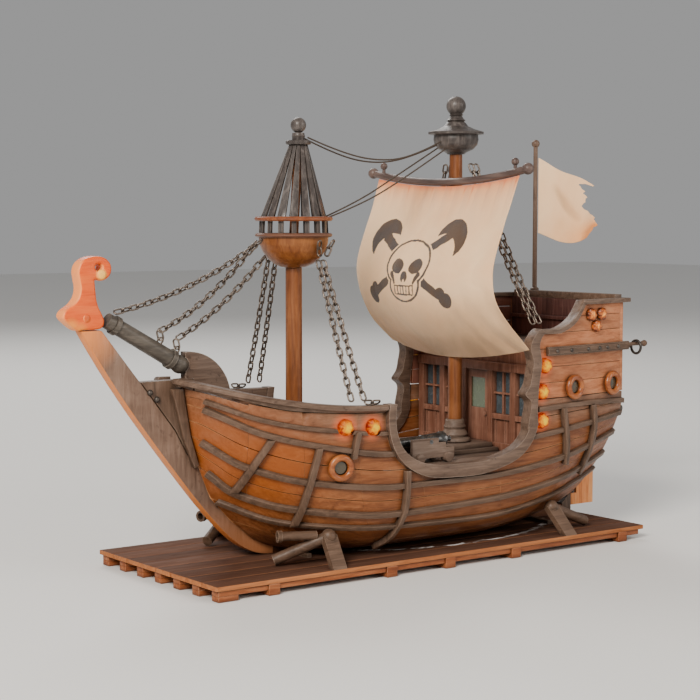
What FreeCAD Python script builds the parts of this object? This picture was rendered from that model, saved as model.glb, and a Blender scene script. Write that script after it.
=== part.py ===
import FreeCAD, Part
import math
import os

# Model sailing ship on a slatted display base.
# Frame: +X towards the stern, +Y to starboard, +Z up, origin at the centre of the base's
# underside.  Heights in the tables below are measured from the top of the base.

Vec = FreeCAD.Vector
os.makedirs("parts", exist_ok=True)

# ---- driving dimensions (mm) ----
BASE_LENGTH = 400.0
BASE_WIDTH = 164.0
BASE_HEIGHT = 11.0
BASE_PLANK = 3.2
BASE_RUNNER = 4.0
HALF_BEAM = 78.0
BOW_X = -180.5
STERN_X = 190.0
BOW_RUN = 132.0
PLANK = 2.4
SEAM = 0.012
BUTT_GAP = 0.0003
STEM_HALF = 5.25
FORE_DECK_Z = 100.0
WAIST_DECK_Z = 62.0
POOP_DECK_Z = 145.0
DECK_THICK = 3.0
CASTLE_TOP = 181.0
FOREMAST_X = -81.6
FOREMAST_R = 6.2
NEST_TOP_X = -77.2
MAINMAST_X = 72.0
MAINMAST_R = 5.5
YARD_X = 62.6
YARD_Z = 272.0
YARD_HALF = 94.0
RUDDER_AXIS_X = 197.5
PINTLE_R = 1.4
PINTLE_PLAY = 0.05
LINK_PITCH = 5.8
LINK_WIRE = 0.65
LINK_HALF_WIDTH = 1.85
ROPE_R = 0.6

# ---- lines of the hull ----
# Foot of every section, from the stem's rabbet along the keel to the stern.
KEEL_LINE = [(-181, 131), (-179, 115), (-175, 92), (-168, 70), (-158, 46), (-141, 28),
             (-121, 12), (-90, 3), (0, 1), (120, 1.5), (160, 5), (190, 13)]
# Height of the greatest breadth, and how full each section is (superellipse power).
BEAM_HEIGHT = [(-181, 131), (-150, 112), (-120, 95), (-85, 82), (-55, 76), (60, 76),
               (120, 84), (190, 99)]
FULLNESS = [(-181, 1.3), (-150, 1.5), (-120, 1.9), (-85, 2.7), (-55, 3.4), (50, 3.5),
            (100, 2.6), (150, 1.7), (190, 1.3)]
# Plank seams from the keel upwards.
SEAM_LINES = [
    [(-121, 12), (-90, 3), (190, 13)],
    [(-131, 20), (-100, 8), (-50, 5), (34, 4.5), (110, 8), (190, 22)],
    [(-141, 28), (-100, 14), (-50, 11), (34, 10), (110, 15), (190, 31)],
    [(-158, 46), (-120, 30), (-50, 24), (34, 22), (110, 29), (190, 42)],
    [(-168, 70), (-150, 52), (-120, 41), (-40, 33), (34, 35), (110, 42), (190, 56)],
    [(-175, 92), (-152, 73), (-115, 61), (-41, 53), (34, 53), (110, 60), (190, 74)],
    [(-179, 115), (-145, 96), (-108, 86), (-50, 77), (34, 76), (87, 79.5), (190, 90)],
    [(BOW_X, 126), (-150, 116), (-120, 110.5), (-54, 107), (87, 107), (190, 107)],
]
STRAKES = [0, 1, 2, 3, 4, 4.5, 5, 5.5, 6, 6.5, 7]
WALE_LIFT = 0.25
WALE_ROWS = (3, 4, 5, 6, 6.5)
# Each strake is laid in lengths that butt at these fractions of its run.
BUTTS = (0.0, 0.07, 0.16, 0.27, 0.42, 0.62, 0.8, 1.0)

# Outlines seen from the side, (x, height).
WAIST_OUTER = [(-55.6, 112.8), (-55.4, 92), (-48, 75), (-36.5, 65), (-19, 58), (3, 56),
               (31, 56), (50, 59.5), (68, 66), (80, 77), (85.5, 90)]
WAIST_INNER = [(-49.4, 112.8), (-49, 92), (-43.5, 80.5), (-34.5, 73), (-20, 67.5), (4, 65.5),
               (32, 65.5), (50, 68.5), (67, 75), (76, 85)]
SCROLL_INNER = [(76, 85), (77.5, 98), (77, 108), (72.5, 112), (76, 117), (79, 126),
                (80.5, 137), (77.5, 147), (81, 155), (88, 161)]
SCROLL_OUTER = [(93, 158), (87, 151), (86.5, 146), (88.5, 138), (87, 124), (85.5, 112),
                (85.5, 90)]
CASTLE_SHEER = [(107, 160), (118, 163.5), (127, 169), (133, 176), (136.5, 183)]


def at(x, y, z):
    """A point given by its height above the top of the base."""
    return Vec(x, y, z + BASE_HEIGHT)


def smooth(table, x):
    """Piecewise cubic through a table of (x, value) points."""
    if x <= table[0][0]:
        return table[0][1]
    if x >= table[-1][0]:
        return table[-1][1]
    i = max(k for k in range(len(table) - 1) if table[k][0] <= x)
    x0, v0 = table[i]
    x1, v1 = table[i + 1]

    def slope(k):
        if k == 0 or k == len(table) - 1:
            a, b = (0, 1) if k == 0 else (k - 1, k)
            return (table[b][1] - table[a][1]) / (table[b][0] - table[a][0])
        left = (table[k][1] - table[k - 1][1]) / (table[k][0] - table[k - 1][0])
        right = (table[k + 1][1] - table[k][1]) / (table[k + 1][0] - table[k][0])
        return 0.0 if left * right <= 0 else 2 * left * right / (left + right)

    run = x1 - x0
    t = (x - x0) / run
    h00 = 2 * t ** 3 - 3 * t ** 2 + 1
    h10 = t ** 3 - 2 * t ** 2 + t
    h01 = 3 * t ** 2 - 2 * t ** 3
    h11 = t ** 3 - t ** 2
    return h00 * v0 + h10 * run * slope(i) + h01 * v1 + h11 * run * slope(i + 1)


def beam(x):
    """Half breadth at the greatest beam."""
    if x < -55:
        return HALF_BEAM * math.sqrt(max(0.0, 1 - ((x + 55) / BOW_RUN) ** 2))
    if x < 90:
        return HALF_BEAM
    return HALF_BEAM - 12 * ((x - 90) / 100) ** 1.5


def half_breadth(x, z):
    foot = smooth(KEEL_LINE, x)
    top = smooth(BEAM_HEIGHT, x)
    if z >= top:
        return beam(x)
    if z <= foot:
        return 0.0
    power = smooth(FULLNESS, x)
    rise = (z - foot) / (top - foot)
    return beam(x) * (1 - (1 - rise) ** power) ** (1 / power)


def height_at(x, y):
    foot = smooth(KEEL_LINE, x)
    top = smooth(BEAM_HEIGHT, x)
    power = smooth(FULLNESS, x)
    reach = min(1.0, y / max(beam(x), 1e-6))
    return foot + (top - foot) * (1 - (1 - reach ** power) ** (1 / power))


def outward(x, z):
    """Outward normal of the starboard side at (x, z)."""
    step = 0.6
    along = (half_breadth(x + step, z) - half_breadth(x - step, z)) / (2 * step)
    up = (half_breadth(x, z + step) - half_breadth(x, z - step)) / (2 * step)
    return Vec(-along, 1, -up).normalize()


def seam_point(row, u):
    """(x, y, z) on the hull at a seam row, which may fall between two seams."""
    low = min(int(row), len(SEAM_LINES) - 2)
    part = row - low
    spots = []
    for line in (SEAM_LINES[low], SEAM_LINES[low + 1]):
        x = line[0][0] + (STERN_X - line[0][0]) * u
        spots.append((x, smooth(line, x)))
    x = spots[0][0] + (spots[1][0] - spots[0][0]) * part
    if low == 0:
        wide = max(STEM_HALF + 0.2, half_breadth(*spots[1]))
        y = STEM_HALF + 0.2 + (wide - STEM_HALF - 0.2) * part
        return x, y, height_at(x, y)
    z = spots[0][1] + (spots[1][1] - spots[0][1]) * part
    return x, max(STEM_HALF + 0.2, half_breadth(x, z)), z


def offset_point(x, y, z, out, side):
    """A hull point moved outwards by `out`, on the chosen side."""
    n = outward(x, z)
    if z - smooth(KEEL_LINE, x) < 1.0:
        n = Vec(0, 0.05, -1).normalize()
    moved_y = max(STEM_HALF + 0.2, y + n.y * out)
    return at(x + n.x * out, side * moved_y, z + n.z * out)


def shell_solid(outer, inner):
    """A closed panel between two grids of points."""
    skins = []
    for grid in (outer, inner):
        surface = Part.BSplineSurface()
        surface.interpolate(grid)
        skins.append(surface)
    faces = [skin.toShape() for skin in skins]
    limits = [(skin.bounds()) for skin in skins]
    rims = []
    for skin, (u0, u1, v0, v1) in zip(skins, limits):
        rims.append([skin.uIso(u0).toShape(), skin.uIso(u1).toShape(),
                     skin.vIso(v0).toShape(), skin.vIso(v1).toShape()])
    for a, b in zip(*rims):
        faces.append(Part.makeRuledSurface(a, b))
    shell = Part.makeShell(faces)
    shell.sewShape(1e-4)
    solid = Part.Solid(shell)
    if solid.Volume < 0:
        solid.reverse()
    return solid


def save(node, shapes):
    """Write one node; the shapes stay separate solids."""
    solids = []
    for shape in shapes:
        solids.extend(shape.Solids)
    for solid in solids:
        if not solid.isValid() or solid.Volume <= 0:
            print("CHECK", node, "valid", solid.isValid(), "volume", round(solid.Volume, 2))
    body = solids[0] if len(solids) == 1 else Part.makeCompound(solids)
    body.exportStep("parts/%s.step" % node)
    NODES[node] = body
    print(node, len(solids), round(sum(s.Volume for s in solids)))


NODES = {}


def both(make, *values):
    """The same piece on port and starboard."""
    return [make(*values, side=-1), make(*values, side=1)]


def box(x0, x1, y0, y1, z0, z1):
    return Part.makeBox(x1 - x0, y1 - y0, z1 - z0, at(x0, y0, z0))


def side_face(points, curved=True):
    """A face in the X-Z plane at y = 0 from an outline, smooth or straight."""
    places = [at(x, 0, z) for x, z in points]
    if curved:
        curve = Part.BSplineCurve()
        curve.interpolate(places, PeriodicFlag=True)
        return Part.Face(Part.Wire([curve.toShape()]))
    return Part.Face(Part.makePolygon(places + [places[0]]))


def spline_edge(points):
    curve = Part.BSplineCurve()
    curve.interpolate([at(x, 0, z) for x, z in points])
    return curve.toShape()


def line_edge(a, b):
    return Part.makeLine(at(a[0], 0, a[1]), at(b[0], 0, b[1]))


def extrude_y(face, y0, y1):
    return face.translated(Vec(0, y0, 0)).extrude(Vec(0, y1 - y0, 0))


def turned(profile, x, y=0.0):
    """A turned piece from (radius, height) points about a vertical axis."""
    pts = [at(x + r, y, z) for r, z in profile]
    pts = [at(x, y, profile[0][1])] + pts + [at(x, y, profile[-1][1])]
    clean = [pts[0]]
    for p in pts[1:]:
        if (p - clean[-1]).Length > 1e-6:
            clean.append(p)
    face = Part.Face(Part.makePolygon(clean + [clean[0]]))
    return face.revolve(at(x, y, 0), Vec(0, 0, 1), 360)


def dome(x, z, radius, height, side, lift=0.0, y=None):
    """A lens-shaped cap standing on the hull's side."""
    n = Vec(0, side, 0)
    spot = at(x, side * ((half_breadth(x, z) if y is None else y) + lift), z)
    if y is None:
        n = outward(x, z)
        n = Vec(n.x, side * n.y, n.z)
    big = (radius ** 2 + height ** 2) / (2 * height)
    ball = Part.makeSphere(big, spot + n * (height - big))
    keep = Part.makeCylinder(big * 2, height + 1, spot, n)
    return ball.common(keep)


# ---------------------------------------------------------------- base and trestles
def make_base():
    pitch = BASE_WIDTH / 8
    planks = []
    for i in range(8):
        y0 = -BASE_WIDTH / 2 + i * pitch
        planks.append(box(-BASE_LENGTH / 2, BASE_LENGTH / 2, y0 + 0.15, y0 + pitch - 0.15,
                          -BASE_PLANK, 0))
    save("base_planks", planks)
    runners = []
    for i in range(7):
        y = -BASE_WIDTH / 2 + 6 + i * (BASE_WIDTH - 12) / 6
        runners.append(box(-BASE_LENGTH / 2 + 2, BASE_LENGTH / 2 - 4, y - 4.5, y + 4.5,
                           -BASE_PLANK - BASE_RUNNER, -BASE_PLANK))
    save("base_runners", runners)
    top = -BASE_PLANK - BASE_RUNNER
    feet = []
    for x in (-154, -53, 1, 65, 177):
        bar = box(x - 4.5, x + 4.5, -BASE_WIDTH / 2, BASE_WIDTH / 2, -BASE_HEIGHT, top)
        for y0, y1 in ((-BASE_WIDTH / 2, 1.4 - BASE_WIDTH / 2), (BASE_WIDTH / 2 - 1.4, BASE_WIDTH / 2)):
            bar = bar.fuse(box(x - 4.5, x + 4.5, y0, y1, -BASE_HEIGHT, -BASE_PLANK))
        feet.append(bar.removeSplitter())
    for i in range(7):
        y = -BASE_WIDTH / 2 + 6 + i * (BASE_WIDTH - 12) / 6
        feet.append(box(-BASE_LENGTH / 2 + 2, -BASE_LENGTH / 2 + 18, y - 4.5, y + 4.5,
                        -BASE_HEIGHT, top))
    save("base_feet", feet)


def strut(a, b, radius):
    """A round bar between two points."""
    run = b - a
    return Part.makeCylinder(radius, run.Length, a, run)


def board(a, b, width, thick):
    """A flat board between two points, its width along the ship."""
    half = Vec(width / 2, 0, 0)
    through = (b - a).cross(Vec(1, 0, 0)).normalize() * (thick / 2)
    corners = [a - half - through, a + half - through, a + half + through, a - half + through]
    face = Part.Face(Part.makePolygon(corners + [corners[0]]))
    return face.extrude(b - a)


def make_trestle(hub, board_foot, leg_foot, bar_x):
    """A low stand each side: a knob under the bilge, a flat leg, a round leg and a cross bar."""
    pieces = []
    base = Part.makeBox(500, 500, 60, Vec(-250, -250, BASE_HEIGHT + 0.02))
    for side in (-1, 1):
        top = at(hub[0], side * hub[1], hub[2])
        knob = Part.makeSphere(5.4, top)
        flat = board(top, at(board_foot[0], side * board_foot[1], -2), 11.5, 4.6)
        leg = strut(top, at(leg_foot[0], side * leg_foot[1], 4.2), 4.0)
        y0, y1 = sorted((side * 4.6, side * 34))
        pieces.append(knob.fuse(flat).fuse(leg).common(base).removeSplitter())
        pieces.append(box(bar_x - 2, bar_x + 2, y0, y1, 0, 2.8))
    return pieces


def make_clamps():
    """Bright tube ends that reach forwards from the fore stand along the bilge."""
    clamps = []
    for side in (-1, 1):
        back = at(-104.5, side * 60.6, 21.6)
        front = at(-131.5, side * 51.4, 22.2)
        run = (front - back).normalize()
        tube = strut(back, front, 3.3).fuse(strut(front - run * 3, front, 4.2))
        clamps.append(tube.cut(strut(front - run * 8, front + run, 2.6)))
    return clamps


# ---------------------------------------------------------------- backbone
def make_backbone():
    front = [(-258, 168.6), (-226.5, 120), (-187, 68), (-150.5, 25), (-121, 3), (-104, -0.0)]
    back = [(-104, 8), (-118, 13), (-138, 29), (-155, 48), (-164, 70), (-176, 78), (-186, 96),
            (-212.7, 130.5), (-243, 168.6)]
    edges = [spline_edge(front), line_edge(front[-1], back[0]), spline_edge(back[:5])]
    for a, b in zip(back[4:], back[5:]):
        edges.append(line_edge(a, b))
    edges.append(line_edge(back[-1], front[0]))
    stem = extrude_y(Part.Face(Part.Wire(edges)), -STEM_HALF, STEM_HALF)
    save("stem_post", [stem])
    knee = extrude_y(side_face([(-212.2, 130.9), (-185.4, 96.4), (-175.7, 78.6), (-170, 78.6),
                                (-171, 112), (-171, 131.5), (-211.7, 131.5)], False),
                     -STEM_HALF, STEM_HALF)
    cheeks = []
    for side in (-1, 1):
        outline = [(-190.5, 125.8), (-181.5, 125.8), (-179.8, 115), (-175.8, 92), (-169.2, 71),
                   (-172.5, 69), (-181.5, 92), (-187.5, 115)]
        y0, y1 = sorted((side * (STEM_HALF + 0.1), side * (STEM_HALF + 4.4)))
        cheeks.append(extrude_y(side_face(outline, False), y0, y1))
    save("head_knee", [knee] + cheeks)
    keel_outline = [(-103.7, 0), (-103.7, 7.8), (184, 7.8), (184, 0)]
    save("keel", [extrude_y(side_face(keel_outline, False), -4, 4)])
    post_outline = [(184.3, 0.3), (194, 0.3), (194, 101), (190.4, 101), (190.4, 14), (184.3, 9)]
    save("stern_post", [extrude_y(side_face(post_outline, False), -4.2, 4.2)])


def make_figurehead(spar):
    """A flat-sided scroll on top of the stem, with a curled tip."""
    outline = [(-261.5, 169.2), (-271.5, 179.4), (-268.3, 186), (-258.5, 192.7), (-259.5, 206),
               (-256, 214.3), (-250.8, 218.2), (-244, 219.1), (-237, 217.6), (-232.8, 212),
               (-233.6, 206), (-238.5, 202.9), (-243, 204.5), (-243.8, 209), (-247.5, 208.5),
               (-246, 198), (-244, 187), (-240, 180.5), (-238.2, 175), (-240.5, 169.2)]
    body = extrude_y(side_face(outline, False), -STEM_HALF - 1.5, STEM_HALF + 1.5)
    eye = Part.makeCylinder(1.4, 30, at(-249.5, -15, 212.5), Vec(0, 1, 0))
    save("figurehead", [body.cut(eye).cut(spar)])


# ---------------------------------------------------------------- planking
def strake(low, high, start, end, side):
    """One length of plank between two seam rows and two fractions of the run."""
    rows, columns = 4, 7
    outer, inner = [], []
    for i in range(columns):
        u = start + (end - start) * i / (columns - 1)
        out_row, in_row = [], []
        for j in range(rows):
            row = low + SEAM + (high - low - 2 * SEAM) * j / (rows - 1)
            x, y, z = seam_point(row, u)
            out_row.append(offset_point(x, y, z, 0, side))
            in_row.append(offset_point(x, y, z, -PLANK, side))
        outer.append(out_row)
        inner.append(in_row)
    return shell_solid(outer, inner)


def waist_prism():
    """Everything inside the outer edge of the waist trim, right across the ship."""
    outline = list(WAIST_OUTER) + [(88, 104), (88, 250), (-56, 250)]
    edges = [spline_edge(WAIST_OUTER)]
    rest = outline[len(WAIST_OUTER) - 1:] + [WAIST_OUTER[0]]
    for a, b in zip(rest, rest[1:]):
        edges.append(line_edge(a, b))
    return extrude_y(Part.Face(Part.Wire(edges)), -130, 130)


def make_planking(prism):
    for side, name in ((-1, "port"), (1, "starboard")):
        planks = []
        for low, high in zip(STRAKES, STRAKES[1:]):
            for start, end in zip(BUTTS, BUTTS[1:]):
                under_rail = high == STRAKES[-1] and start == 0
                top = high - 0.07 if under_rail else high
                plank = strake(low, top, start, end - BUTT_GAP, side)
                if high > 5 and 0.27 < end and start < 0.8:
                    plank = plank.cut(prism)
                planks.append(plank)
        save("planking_" + name, planks)


def hull_strip(points, half, out0, out1, side, along_x=False):
    """A strip on the hull through (x, z) points, `half` wide each way."""
    outer, inner = [], []
    for x, z in points:
        out_row, in_row = [], []
        for shift in (-half, half):
            px, pz = (x + shift, z) if along_x else (x, z + shift)
            y = max(STEM_HALF + 0.3, half_breadth(px, pz))
            in_row.append(offset_point(px, y, pz, out0, side))
            trim = half * 0.25 * (1 if shift > 0 else -1)
            qx, qz = (px - trim, pz) if along_x else (px, pz - trim)
            y = max(STEM_HALF + 0.3, half_breadth(qx, qz))
            out_row.append(offset_point(qx, y, qz, out1, side))
        outer.append(out_row)
        inner.append(in_row)
    return shell_solid(outer, inner)


def make_wales(prism, keep_clear):
    wales = []
    for side in (-1, 1):
        for row in WALE_ROWS:
            reach = 0.36 if row == 6.5 else 0.988
            points = []
            for i in range(30):
                x, y, z = seam_point(row, 0.012 + reach * (1 - math.cos(math.pi * i / 29)) / 2)
                points.append((x, z))
            half = 1.7 if row in (3, 6.5) else 2.3
            wales.append(hull_strip(points, half, WALE_LIFT, 2.6, side).cut(prism))
        top = [(88.5 + 101.4 * i / 16, 99.5 + 1.5 * math.sin(math.pi * i / 16)) for i in range(17)]
        wales.append(hull_strip(top, 2.2, WALE_LIFT, 2.6, side))
    cleared = []
    for wale in wales:
        for tool in keep_clear:
            wale = wale.cut(tool)
        cleared.append(wale)
    save("wales", cleared)


def rider(points, half, side):
    """An upright strap over the wales, through a few (x, z) points."""
    fine = []
    table = [(z, x) for x, z in points]
    table.sort()
    low, high = table[0][0], table[-1][0]
    for i in range(12):
        z = low + (high - low) * i / 11
        fine.append((smooth(table, z), z))
    return hull_strip(fine, half, 0.12, 4.3, side, True)


def make_riders():
    routes = [([(-139.7, 92), (-145.2, 75), (-149.5, 54)], 2.6),
              ([(-109.5, 85), (-112.3, 66), (-113.3, 47), (-113.3, 29)], 2.6),
              ([(-80.5, 95), (-84.5, 76)], 2.4),
              ([(-38, 64), (-38, 40), (-42, 20), (-48, 8)], 2.6),
              ([(115, 99), (118, 80), (121, 55)], 2.6),
              ([(150, 99), (153, 72), (150, 44)], 2.6)]
    straps = []
    for side in (-1, 1):
        for points, half in routes:
            straps.append(rider(points, half, side))
    save("riders", straps)


# ---------------------------------------------------------------- rails and castle
def rail_top(x):
    if x > -55:
        return 112.5
    return 112.5 + 21 * ((-55 - x) / BOW_RUN) ** 2.1


def fore_rail(side):
    """Cap rail round the bow, from the waist to the stem."""
    last = math.acos(8.5 / HALF_BEAM)
    sections = []
    for i in range(13):
        turn = last * i / 12
        x = -57.0 - (BOW_RUN - 2.0) * math.sin(turn)
        y = HALF_BEAM * math.cos(turn)
        n = Vec(-math.sin(turn) * HALF_BEAM, math.cos(turn) * BOW_RUN, 0).normalize()
        top = rail_top(x)
        flare = min(1.0, max(0.0, (-140 - x) / 45))
        foot = smooth(SEAM_LINES[7], x) + 0.35 + 1.5 * flare ** 0.6
        lip = foot - max(0.4, 3.0 * min(1.0, (x + 160) / 30))
        behind = -PLANK - 0.5
        corners = []
        for out, z in ((-4.5, lip), (behind, lip), (behind, foot), (1.6, foot), (2.4, top - 4.2),
                       (4.4, top - 3.4), (4.6, top - 1.2), (3.4, top), (-4.5, top)):
            corners.append(at(x + n.x * out, side * (y + n.y * out), z))
        sections.append(Part.makePolygon(corners + [corners[0]]))
    return Part.makeLoft(sections, True, False)


def plan_wall(x0, x1, inside, outside, z0, z1, side):
    """An upright wall that follows the castle's plan curve."""
    edges = []
    ends = []
    for out in (inside, outside):
        curve = Part.BSplineCurve()
        pts = []
        for i in range(9):
            x = x0 + (x1 - x0) * i / 8
            pts.append(at(x, side * (beam(x) + out), z0))
        curve.interpolate(pts)
        edges.append(curve.toShape())
        ends.append((pts[0], pts[-1]))
    loop = [edges[0], Part.makeLine(ends[0][1], ends[1][1]), edges[1],
            Part.makeLine(ends[1][0], ends[0][0])]
    face = Part.Face(Part.Wire(Part.__sortEdges__(loop)))
    return face.extrude(Vec(0, 0, z1 - z0))


def castle_profile(drop=0.0):
    """Side outline of the castle wall up to the sheer, lowered by `drop`."""
    sheer = [(x + drop * 0.6, z - drop) for x, z in CASTLE_SHEER]
    first = (88.3, sheer[0][1])
    last = (sheer[-1][0] + 1, CASTLE_TOP - drop)
    sheer[-1] = (sheer[-1][0], CASTLE_TOP - drop)
    edges = [line_edge(first, sheer[0]), spline_edge(sheer), line_edge(sheer[-1], last),
             line_edge(last, (220, CASTLE_TOP - drop)), line_edge((220, CASTLE_TOP - drop), (220, 90)),
             line_edge((220, 90), (88.3, 90)), line_edge((88.3, 90), first)]
    return extrude_y(Part.Face(Part.Wire(edges)), -130, 130)


def make_castle(trims):
    body = castle_profile(3.4)
    rows = [(107.3, 119), (119.3, 131), (131.3, 145), (145.3, 157), (157.3, 169), (169.3, 177.6)]
    walls = []
    for side in (-1, 1):
        for z0, z1 in rows:
            wall = plan_wall(88.4, 186.6, -3.2, 0, z0, z1, side).common(body)
            walls.append(wall.cut(trims) if z1 > 140 else wall)
        y0, y1 = sorted((side * (beam(190) - 3.2), side * (beam(190) + 0.1)))
        walls.append(box(186.9, 190.4, y0, y1, 107.3, 177.6))
    save("castle_sides", walls)
    band = castle_profile(0).cut(castle_profile(3.3))
    rails = []
    for side in (-1, 1):
        strip = plan_wall(88.6, 196, -5.5, 4.0, 150, 190, side)
        rails.append(band.common(strip).cut(trims))
        rails.append(fore_rail(side))
    inner = -(beam(190) - 6.0)
    rails.append(box(186.8, 194.5, inner, -inner, 178, 183.5))
    save("cap_rails", rails)


def belt_wall(side):
    """Rounded timber belt outside the castle wall."""
    layers = [plan_wall(97, 196, 0.3, out, z0, z1, side)
              for out, z0, z1 in ((2.6, 139.9, 141.2), (3.6, 141.2, 145.2), (2.6, 145.2, 146.5))]
    return layers[0].fuse(layers[1]).fuse(layers[2])


def make_belt():
    """Belt round the castle, with the rod end that carries the hanging ring."""
    belts = []
    for side in (-1, 1):
        strip = belt_wall(side)
        y = side * (beam(193) + 1.8)
        rod = strut(at(195, y, 144), at(213, y, 144), 1.5)
        knob = Part.makeSphere(2.6, at(213, y, 144))
        belts.append(strip.fuse(rod).fuse(knob).removeSplitter())
    edge = beam(190)
    belts.append(box(190.6, 193, -edge + 0.4, edge - 0.4, 140, 146.4))
    save("stern_belt", belts)
    y = -(beam(193) + 1.8)
    hoop = Part.makeTorus(5.2, 1.05, at(204, y, 144 + 1.55 - 4.15), Vec(1, 0, 0))
    save("stern_ring", [hoop])


def trim_band(side):
    """Scrolled moulding round the waist opening."""
    edges = [spline_edge(WAIST_INNER), spline_edge(SCROLL_INNER),
             line_edge(SCROLL_INNER[-1], SCROLL_OUTER[0]), spline_edge(SCROLL_OUTER),
             spline_edge(list(reversed(WAIST_OUTER))), line_edge(WAIST_OUTER[0], WAIST_INNER[0])]
    face = Part.Face(Part.Wire(Part.__sortEdges__(edges)))
    y0, y1 = sorted((side * (HALF_BEAM - 4.5), side * (HALF_BEAM + 4.6)))
    return extrude_y(face, y0, y1)


def section_plate(x, thick, inset, top):
    """A cross plate that fills the hull's section up to a height."""
    foot = max(smooth(KEEL_LINE, x), smooth(KEEL_LINE, x + thick)) + inset + 6
    if x > -110:
        foot = max(foot, 8.2)
    points = []
    for i in range(13):
        z = foot + (top - foot) * (i / 12) ** 1.6
        wide = min(half_breadth(x, z - inset * 0.4), half_breadth(x + thick, z - inset * 0.4))
        points.append(at(x, max(1.0, wide - inset), z))
    mirror = [Vec(x, -p.y, p.z) for p in reversed(points)]
    outline = Part.makePolygon(points + mirror + [points[0]])
    return Part.Face(outline).extrude(Vec(thick, 0, 0))


def make_inside():
    plates = []
    for x, top in ((-140, 96.5), (-100, 96.5), (-10, 58.5), (40, 58.5), (130, 100), (165, 100)):
        plates.append(section_plate(x, 4, 3.4, top))
    plates.append(section_plate(-58.5, 3, 3.4, 96.5))
    save("bulkheads", plates)
    save("battery_box", [box(-2, 36, -20, 20, 12, 40)])


def deck(node, x0, x1, z, inset, holes, wide=11.0):
    """Fore-and-aft deck planks inside the hull's outline."""
    outline = []
    steps = 22
    for i in range(steps + 1):
        x = x0 + (x1 - x0) * i / steps
        level = min(half_breadth(x, z - DECK_THICK), half_breadth(x, z))
        outline.append((x, max(2.0, level - inset)))
    right = [Vec(x, y, z - DECK_THICK + BASE_HEIGHT) for x, y in outline]
    left = [Vec(p.x, -p.y, p.z) for p in reversed(right)]
    plate = Part.Face(Part.makePolygon(right + left + [right[0]])).extrude(Vec(0, 0, DECK_THICK))
    for hole in holes:
        plate = plate.cut(hole)
    planks = []
    count = int(2 * HALF_BEAM / wide) + 1
    for i in range(count):
        y0 = -count * wide / 2 + i * wide
        strip = plate.common(box(x0 - 1, x1 + 1, y0 + 0.1, y0 + wide - 0.1, z - 10, z + 10))
        planks.extend(s for s in strip.Solids if s.Volume > 20)
    save(node, planks)


# ---------------------------------------------------------------- cabin
DOOR_HINGE = (100.4, 12.8)


def make_cabin():
    x0, x1 = 95.5, 99.5
    wide = 73.5
    low, high = WAIST_DECK_Z + 0.1, 141.7
    frame = [box(x0, x1, -wide, wide, low, 68), box(x0, x1, -wide, wide, 124, 131),
             box(x0 - 2.8, x0 + 1, 0.2 - wide, wide - 0.2, 125, 131.5)]
    for y in (70, 43, 16):
        for side in (-1, 1):
            a, b = sorted((side * (y - 3), side * (y + 3)))
            frame.append(box(x0 - 1.6, x1, a, b, low, 131))
    for side in (-1, 1):
        a, b = sorted((side * 16, side * 72))
        frame.append(box(x0 - 1.0, x1, a, b, 87, 91))
        frame.append(box(x0 + 1.4, x1 - 0.6, a, b, 67, 88))
        for k in range(5):
            y = side * (21 + k * 11)
            frame.append(box(x0 + 0.4, x1 - 0.6, y - 0.7, y + 0.7, 67, 88))
        for y in (29.5, 56.5):
            frame.append(box(x0 + 0.8, x1 - 0.8, side * y - 0.8, side * y + 0.8, 90, 125))
        frame.append(box(x0 + 0.8, x1 - 0.8, a, b, 106.6, 108))
    frame.append(box(x0 + 0.6, x1, -wide, wide, 130, high))
    body = frame[0]
    for piece in frame[1:]:
        body = body.fuse(piece)
    save("cabin_front", [body.removeSplitter()])
    panes = []
    for side in (-1, 1):
        for inner, outer in ((19.2, 39.8), (46.2, 66.8)):
            a, b = sorted((side * inner, side * outer))
            panes.append(box(x0 + 3.3, x1 + 0.3, a, b, 91.2, 123.8))
    panes = [pane.cut(body) for pane in panes]
    for x, z in PORTHOLES:
        for side in (-1, 1):
            spot, n = hull_frame(x, z, side)
            panes.append(Part.makeCylinder(4.3, 1.2, spot + n * 0.7, n))
    save("window_panes", panes)
    door = box(x0 + 0.6, x1 - 0.4, -12.2, 12.2, 68.4, 123.6)
    door = door.cut(box(x0 - 1, x1 + 1, -8.4, 8.4, 94, 118))
    knob = Part.makeCylinder(1.5, 2.2, at(x0 - 1.5, -10.3, 90), Vec(1, 0, 0))
    door = door.fuse(knob)
    hinge_x, hinge_y = DOOR_HINGE
    for z in (76, 110):
        door = door.fuse(box(x1 - 1, hinge_x, hinge_y - 6, hinge_y, z, z + 5))
        door = door.fuse(Part.makeCylinder(0.8, 7, at(hinge_x, hinge_y, z - 1)))
    save("cabin_door", [door.removeSplitter()])
    save("door_pane", [box(x0 + 1.6, x1 - 1.4, -8.3, 8.3, 94.1, 117.9)])


def make_transom():
    lower = section_plate(186.8, 3.4, PLANK + 0.5, 106.9)
    wide = beam(190) - 3.4
    boards = [lower]
    for z0, z1 in ((107.2, 141.9), (146.2, 177.8)):
        count = 10
        step = 2 * wide / count
        for i in range(count):
            y = -wide + i * step
            boards.append(box(186.9, 190.1, y + 0.1, y + step - 0.1, z0, z1))
    boards.append(box(186.9, 190.1, -wide, wide, 142.0, 146.1))
    ledge = box(184.2, 186.6, -wide + 1, wide - 1, 160.5, 163.5)
    boards.append(ledge)
    save("transom", boards)


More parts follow.
